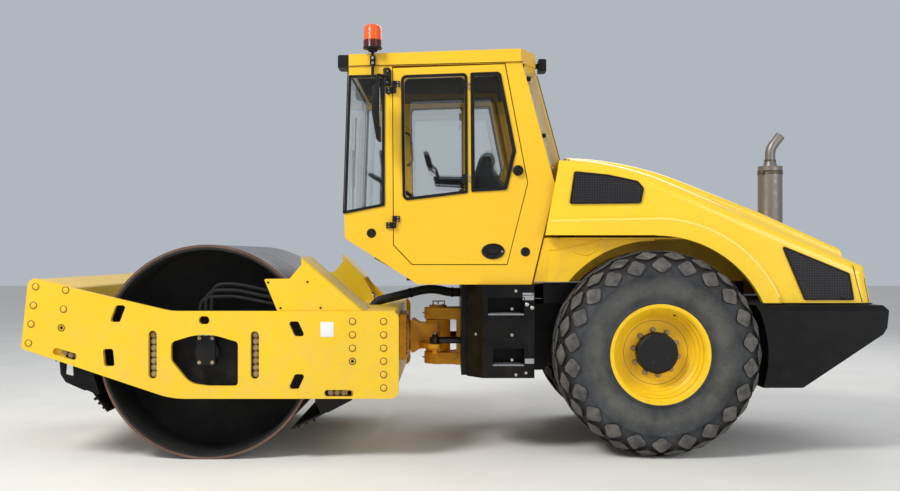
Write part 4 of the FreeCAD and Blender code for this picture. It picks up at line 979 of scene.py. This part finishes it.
def hood_details():
    """Panel seams drawn as near-black lines of painted shade, a pale crease ridge and fender edge that are painted
    highlights, vent and grille rims, latches, the radiator grille and tail lamps.
    """
    def back_rim(bm):
        band(bm, rect(-534, 1100, 534, 1274, 26), 16, "yz", -9, 2)
        for i in range(6):
            y = -450 + 180 * i
            solid(bm, rect(y - 4, 1112, y + 4, 1262), "yz", -8, -2, 1)

    def crease(bm):
        line = [(-650, 922, 1668), (-1030, 922, 1676)]
        for k in range(25):
            a = math.radians(90 + 65.5 * k / 24)
            line.append((953 * math.cos(a) - 1410, 922, 730 + 953 * math.sin(a)))
        tube(bm, line, 13, 16)

    onto_back = (lean, -2967, 1085, 39 / 191)
    # painted highlight on the crease ridge
    add("hood_crease", HOOD_CREASE_HIGHLIGHT, "hood", crease)
    upper = bent([(-650, 837, 1462), (-762, 837, 1475), (-904, 837, 1505), (-1045, 837, 1538)], (500, 500))
    lower = bent([(-820, 837, 1462), (-850, 837, 1440), (-930, 837, 1424), (-1000, 837, 1474), (-1012, 837, 1512)],
                 (30, 60, 60))
    add("fender_ridges", ARCH, "rear_frame", (tube, upper, 6, 10), (tube, lower, 6, 10))
    add("fender_fillers", ARCH, "rear_frame",
            (solid, [(-646, 1236), (-540, 1236, 4), (-614, 1551, 4), (-646, 1551)], "xz", 826, 838, 2))
    # painted highlight: a pale zinc-coloured tube stands for the lit lower edge of the fender
    add("fender_edge_highlight", FITTING, "rear_frame",
            (tube, [(-541, 834, 1233), (-760, 834, 1233), (-960, 834, 1233)], 4, 8))
    # painted shade: near-black tubes along the panel gaps
    add("hood_seam_shade_lines", SHADE_BLACK, "hood", (tube, [(x, 602, hood_top(x) + 0.6) for x in range(-2790, -2230, 40)], 3.2, 8),
            (tube, [(-2812, 900.2, 1354), (-2846, 900.2, 1210), (-2880, 900.2, 1090)], 2.6, 8))
    add("vent_rims", PLASTIC, "hood", (band, [(-824, 2025, 15), (-1065, 2001, 15), (-1276, 1956, 20),
             (-1321, 1905, 25), (-1300, 1795, 20), (-789, 1790, 15)], 11, "xz", 900, 912),
            (band, [(-2302, 1496, 12), (-2786, 1297, 12), (-2820, 1106, 12), (-2465, 1106, 12)], 12, "xz", 900, 911))
    add("hood_latches", DARK_BOLT, "hood",
            (turned, (-2742, 908, 1127), OUT, [(0, 10), (10, 10), (15, 8), (19, 3), (19, -1), (0, -1)], 24),
            (solid, rect(-2748, 1118, -2736, 1136, 3), "xz", 915, 921, 1.5))
    add("hood_seal", SEAL, "hood", (solid, rect(-2955, 1076, -2330, 1084), "xz", 862, 893))
    add("radiator_mesh", MESH, "hood", (solid, rect(-520, 1112, 520, 1262, 20), "yz", -4, 3),
            onto_back, both=False)
    add("radiator_rim", PLASTIC, "hood", back_rim, onto_back, both=False)
    add("tail_lamp_housings", PLASTIC, "hood", (band, rect(600, 1140, 760, 1220, 14), 8, "yz", -12, 2),
            onto_back)
    add("tail_lamps", RED_LENS, "hood", (solid, rect(608, 1148, 752, 1212, 8), "yz", -10, 1, 3),
            onto_back)


# Heights of the door hinges, and outlines on the cab side
HINGES = (2632, 1664)
FRONT_PANE = [(415, 2718, 40), (-62, 2734, 30), (-66, 1872, 12), (403, 1815, 40)]
REAR_PANE = [(-83, 2736, 12), (-300, 2744, 30), (-412, 2174, 20), (-347, 1894, 20), (-90, 1879, 12)]
QUARTER_PANE = [(531, 2722, 10), (531, 1780, 10), (824, 1722, 6), (790, 2717, 6)]
DOOR = [(473, 2770, 6), (-330, 2798, 6), (-493, 1945, 10), (-346, 1361, 10), (333, 1361, 10), (466, 1500, 10)]


def door_details():
    """Rubber window surrounds, hinge plates, handle dish, knob and screws of each door."""
    def plates(bm):
        for low, high in ((2612, 2678), (1935, 2007)):
            solid(bm, rect(-60, low, -22, high, 4), "xz", 856, 864, 2)
        for z in HINGES:
            solid(bm, rect(423, z + 2, 461, z + 44, 4), "xz", 853, 866, 1.5)
            turned(bm, (462, 866, z), UP, [(11.3, 1), (14, 1), (14, 42), (11.3, 44), (0, 44.5)], 20)
        turned(bm, (-427, 850, 2034), OUT,
               [(0, 27), (14, 27), (19, 24), (30, 26), (36, 23), (36, 8), (38, 6), (38, -1), (0, -1)], 28)
        spread(bm, 875, around(-427, 2034, 4, 24, math.pi / 4), disc, 6, 3, 1, 10)

    def dish(bm):
        turned(bm, (0, 850, 0), OUT,
               [(0, 1.5), (44, 1.5), (48, 4), (50, 9), (54, 11), (58, 9), (59, 2), (59, -1), (0, -1)], 40)
        bmesh.ops.scale(bm, vec=(1.42, 1, 0.96), verts=bm.verts)
        bmesh.ops.translate(bm, verts=bm.verts, vec=(-247, 0, 1454))
        solid(bm, rect(-285, 1436, -205, 1470, 12), "xz", 851, 860, 3)

    add("door_window_rubber", SEAL, "door_{}", (band, FRONT_PANE, 21, "xz", 852, 859),
            (band, REAR_PANE, 27, "xz", 852, 859))
    add("door_fittings", PLASTIC, "door_{}", plates)
    add("door_handle", PLASTIC, "door_{}", dish)
    add("door_lock", CHROME, "door_{}", (disc, (-312, 858, 1452), OUT, 8, 5, 1.5, 18))
    add("door_screws", FITTING, "door_{}",
            (spread, 857, [(-73, z) for z in (2660, 2627, 1992, 1960)], disc, 8, 5, 2, 16),
            (spread, 865.5, [(438, z + dz) for z in HINGES for dz in (11, 33)], disc, 6.5, 3.5, 1.5, 12))


def cab_details():
    """Window rubbers, door seal, plugs, hinge leaves, wiper, a roof edge line that is painted shadow, and mirror glass.
    """
    def leaves(bm):
        for z in HINGES:
            solid(bm, rect(463, z - 46, 521, z - 2, 4), "xz", 853, 866, 1.5)
            turned(bm, (462, 866, z), UP, [(0, -44.5), (11.3, -44), (14, -42), (14, -1), (11.3, -1)], 20)
        clamp = [(484, 2640, 8), (538, 2640, 8), (542, 2768, 10), (500, 2772, 8), (484, 2750, 8)]
        solid(bm, clamp, "xz", 850, 872, 4)

    def mirror_heads(bm):
        outline = [(546, 2224, 10), (572, 2224, 12), (603, 2410, 60), (603, 2586, 16), (588, 2604, 10), (550, 2604, 10)]
        solid(bm, outline, "xz", 976, 1159, 8, 3)
        arm = bent([(505, 851, 2690), (505, 960, 2690), (575, 1058, 2690), (575, 1058, 2600)], (40, 25))
        tube(bm, arm, 9, 12)
        turned(bm, (575, 1058, 2598), UP, [(9, 0), (16, 0), (16, 24), (12, 30), (9, 30)], 16)

    def wiper(bm):
        arm = [(846, -120, 1742), (848, -120, 1760), (842, -60, 2080), (831, 40, 2260)]
        tube(bm, bent(arm, (10, 60)), 6, 8)
        turned(bm, (832, -120, 1742), AHEAD, [(0, 16), (14, 16), (18, 12), (18, 0), (0, 0)], 18)
        tube(bm, [(828.5 - 0.0335 * (z - 1900), 40, z) for z in (1960, 2160, 2360, 2520)], 7, 8)

    def washer_nozzles(bm):
        for y in (-240, 240):
            box_solid(bm, (826, y - 12, 1690), (842, y + 12, 1706), 3)

    add("quarter_window_rubber", SEAL, "rear_frame", (band, QUARTER_PANE, 20, "xz", 852, 859))
    add("windscreen_rubber", SEAL, "rear_frame", (band, rect(-850, 1727, 850, 2768, 10), 26, "yz", 4, 9),
            (lean, 824, 1735, -35 / 1045), both=False)
    add("rear_window_rubber", SEAL, "rear_frame", (band, rect(-575, 1975, 575, 2765, 20), 30, "yz", -120, -112),
            (lean, -695, 1926, 240 / 885), both=False)
    add("door_seal", SEAL, "rear_frame", (band, inset(DOOR, -14), 26, "xz", 799, 808))
    add("cab_plugs", SEAL, "rear_frame", (spread, 850, ((627, 1584), (-479, 1450)), turned, [(0, 4), (20, 4), (25, 6),
             (33, 4), (34, -1), (0, -1)], 28))
    add("hinge_leaves", PLASTIC, "rear_frame", leaves)
    add("hinge_screws", FITTING, "rear_frame",
            (spread, 865.5, [(502, z + dz) for z in HINGES for dz in (-34, -13)], disc, 5, 3.5, 1.5, 12),
            (spread, 872, ((512, 2665), (512, 2745)), disc, 5, 3.5, 1.5, 12))
    add("clamp_hook", DARK_BOLT, "rear_frame",
            (tube, bent([(520, 868, 2642), (522, 872, 2590), (500, 872, 2575), (488, 872, 2596)], (14, 10)), 3.5, 8))
    # painted shadow: a dark line under the roof's lower edge
    add("roof_edge_shadow_line", SEAL, "rear_frame",
            (tube, [(786, 856.2, 2783), (100, 856.2, 2800), (-460, 856.2, 2815)], 3, 8))
    add("mirror_glass", MIRROR, "rear_frame", (solid, rect(988, 2240, 1144, 2586, 14), "yz", 547, 552, 1))
    add("wiper", DARK_BOLT, "rear_frame", wiper, both=False)
    add("washer_nozzles", PLASTIC, "rear_frame", washer_nozzles, both=False)
    add("headliner", LINING, "rear_frame",
            (solid, [(755, 2742, 8), (-470, 2770, 8), (-478, 2808, 4), (768, 2774, 4)], "xz", -800, 800, 3),
            both=False)
    add("dashboard", PLASTIC, "rear_frame", (solid, [(640, 1500, 20), (770, 1600, 20), (782, 1762, 20),
             (700, 1806, 40), (588, 1700, 40)], "xz", -420, 420, 14, 3), both=False)
    add("pane_linings", SEAL, "door_{}", (band, inset(FRONT_PANE, 12), 9, "xz", 803, 809.5),
            (band, inset(REAR_PANE, 12), 9, "xz", 803, 809.5))
    add("mirror_heads", PLASTIC, "rear_frame", mirror_heads, stands_for="mirrors")

    def pane_knobs(bm):
        for z in (2700, 2290):
            disc(bm, (-695 + 240 / 885 * (z - 1926) - 14, 800, z), (-0.88, 0.47, 0), 17, 20, 4, 18)

    add("pane_knobs", PLASTIC, "rear_frame", pane_knobs)


def lamp_details():
    """Lamp lenses and rims, and the ribbed beacon dome with its clip ring."""
    add("front_lamp_lenses", CLEAR_LENS, "rear_frame", (solid, rect(652, 2792, 808, 2858, 14), "yz", 864, 869, 2))
    add("front_lamp_rims", PLASTIC, "rear_frame", (band, rect(641, 2781, 819, 2869, 18), 11, "yz", 860, 872))
    add("rear_lamp_lenses", CLEAR_LENS, "rear_frame", (solid, rect(431, 2811, 549, 2879, 12), "yz", -655, -649, 2))
    add("rear_lamp_rims", PLASTIC, "rear_frame", (band, rect(421, 2801, 559, 2889, 14), 10, "yz", -657, -645))
    add("beacon_clip", PLASTIC, "rear_frame",
            (turned, (616, 880, 2906), UP, [(60, -4), (68, -4), (69, 0), (68, 6), (60, 6), (60, -4)], 36), both=False)
    add("beacon_bracket_bolts", FITTING, "rear_frame", (spread, 890.5, ((616, 2800), (616, 2836)), bolt, 7),
            both=False)
    add("beacon_dome", AMBER, "rear_frame", (turned, (616, 880, 2925), UP, [(0, 0.3), (50, 0.3), (52, -21), (66, -20),
             (66.5, 37), (63, 39), (63, 115), (60, 129), (52, 141), (38, 149), (20, 152.5), (0, 153)], 36),
            both=False, stands_for="beacon_lens")


def tuck(obj, swell):
    """Blows a cushion up a little with simulated cloth, then leaves plain mesh."""
    mesh = obj.data
    voxel = obj.modifiers.new("voxels", "REMESH")
    voxel.mode = "VOXEL"
    voxel.voxel_size = 0.006
    bpy.context.view_layer.update()
    graph = bpy.context.evaluated_depsgraph_get()
    fine = bpy.data.meshes.new_from_object(obj.evaluated_get(graph))
    obj.modifiers.clear()
    obj.data = fine
    rest = [v.co.copy() for v in fine.vertices]
    cloth = obj.modifiers.new("cloth", "CLOTH")
    cloth.settings.quality = 3
    cloth.settings.use_pressure = True
    cloth.settings.uniform_pressure_force = 4.0
    cloth.settings.effector_weights.gravity = 0.0
    cloth.point_cache.frame_start = 1
    cloth.point_cache.frame_end = 20
    scene = bpy.context.scene
    for frame_number in range(1, 21):
        scene.frame_set(frame_number)
    graph = bpy.context.evaluated_depsgraph_get()
    blown = bpy.data.meshes.new_from_object(obj.evaluated_get(graph))
    obj.modifiers.clear()
    obj.data = blown
    for v, start in zip(blown.vertices, rest):
        step = v.co - start
        if step.length > swell:
            v.co = start + step.normalized() * swell
    scene.frame_set(1)
    bpy.data.meshes.remove(mesh)


def cushions():
    """Seat and back pads, sewn edge cords, armrests, boots and levers."""
    low = [(-100, -232, 60), (350, -232, 80), (350, 232, 80), (-100, 232, 60)]
    back = [(-138, 1712, 30), (-74, 1812, 30), (-208, 2240, 30), (-285, 2236, 30), (-178, 1712, 30)]
    pads = (add("seat_pad", CLOTH, "", (solid, low, "xy", 1702, 1786, 22, 4), both=False, sharp=60),
            add("back_pad", CLOTH, "", (solid, back, "xz", -222, 222, 22, 4), both=False, sharp=60))
    for obj in pads:
        tuck(obj, 0.022)
        mesh = obj.data
        mesh.polygons.foreach_set("use_smooth", [True] * len(mesh.polygons))
        if not mesh.materials:
            mesh.materials.append(CLOTH)
        smooth = obj.modifiers.new("finer", "SUBSURF")
        smooth.levels = smooth.render_levels = 1
        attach(obj, "rear_frame")
    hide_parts("seat_cushions")

    def cords(bm):
        corners = [(x + (9 if x > 0 else -9), y + (9 if y > 0 else -9), r) for x, y, r in low]
        edge = [(x, y, 1744) for x, y in rounded(corners, 8)]
        tube(bm, edge + edge[:1], 5, 8)

    def armrests(bm):
        outline = [(-150, 1975, 18), (190, 1995, 18), (190, 2035, 18), (-160, 2025, 18)]
        solid(bm, outline, "xz", 262, 322, 12, 3)
        solid(bm, [(-150, 1900, 10), (-105, 1900, 10), (-105, 1990, 10), (-160, 1990, 10)], "xz", 278, 306, 4)

    def boots(bm):
        ring = [(34 - 2.4 * k + (4 if k % 2 else 0), 9 * k) for k in range(8)]
        turned(bm, (250, -440, 1722), UP, [(0, 0)] + ring + [(0, 66)], 24)

    add("joystick", PLASTIC, "rear_frame",
            (tube, bent([(150, 292, 2030), (170, 292, 2090), (215, 292, 2130)], (30,)), 9, 10),
            (turned, (218, 292, 2128), (0.35, 0, 1), [(0, -6), (17, -2), (21, 20), (22, 60), (19, 92), (10, 102),
             (0, 104)], 18))
    add("grab_bar", PLASTIC, "rear_frame", (tube,
             bent([(448, -802, 2500), (400, -780, 2470), (388, -780, 2250), (430, -802, 2210)], (24, 24)), 10, 10),
            both=False)
    add("seat_cord", SEAL, "rear_frame", cords, both=False)
    add("armrests", PLASTIC, "rear_frame", armrests)
    add("lever_boot", SEAL, "rear_frame", boots, both=False)
    add("instrument_box", PLASTIC, "rear_frame",
            (solid, [(560, 2080, 12), (585, 2080, 12), (600, 2220, 12), (575, 2226, 12)], "xz", 250, 430, 5, 3),
            (tube, bent([(590, 340, 1720), (590, 340, 1900), (580, 340, 2090)], (60,)), 10, 10), both=False)


camera()
studio()
finish_nodes()
yoke_bolting()
drum_end()
scraper_bolts()
hitch_details()
wheel_details()
tank_details()
exhaust_details()
hood_details()
door_details()
cab_details()
lamp_details()
cushions()
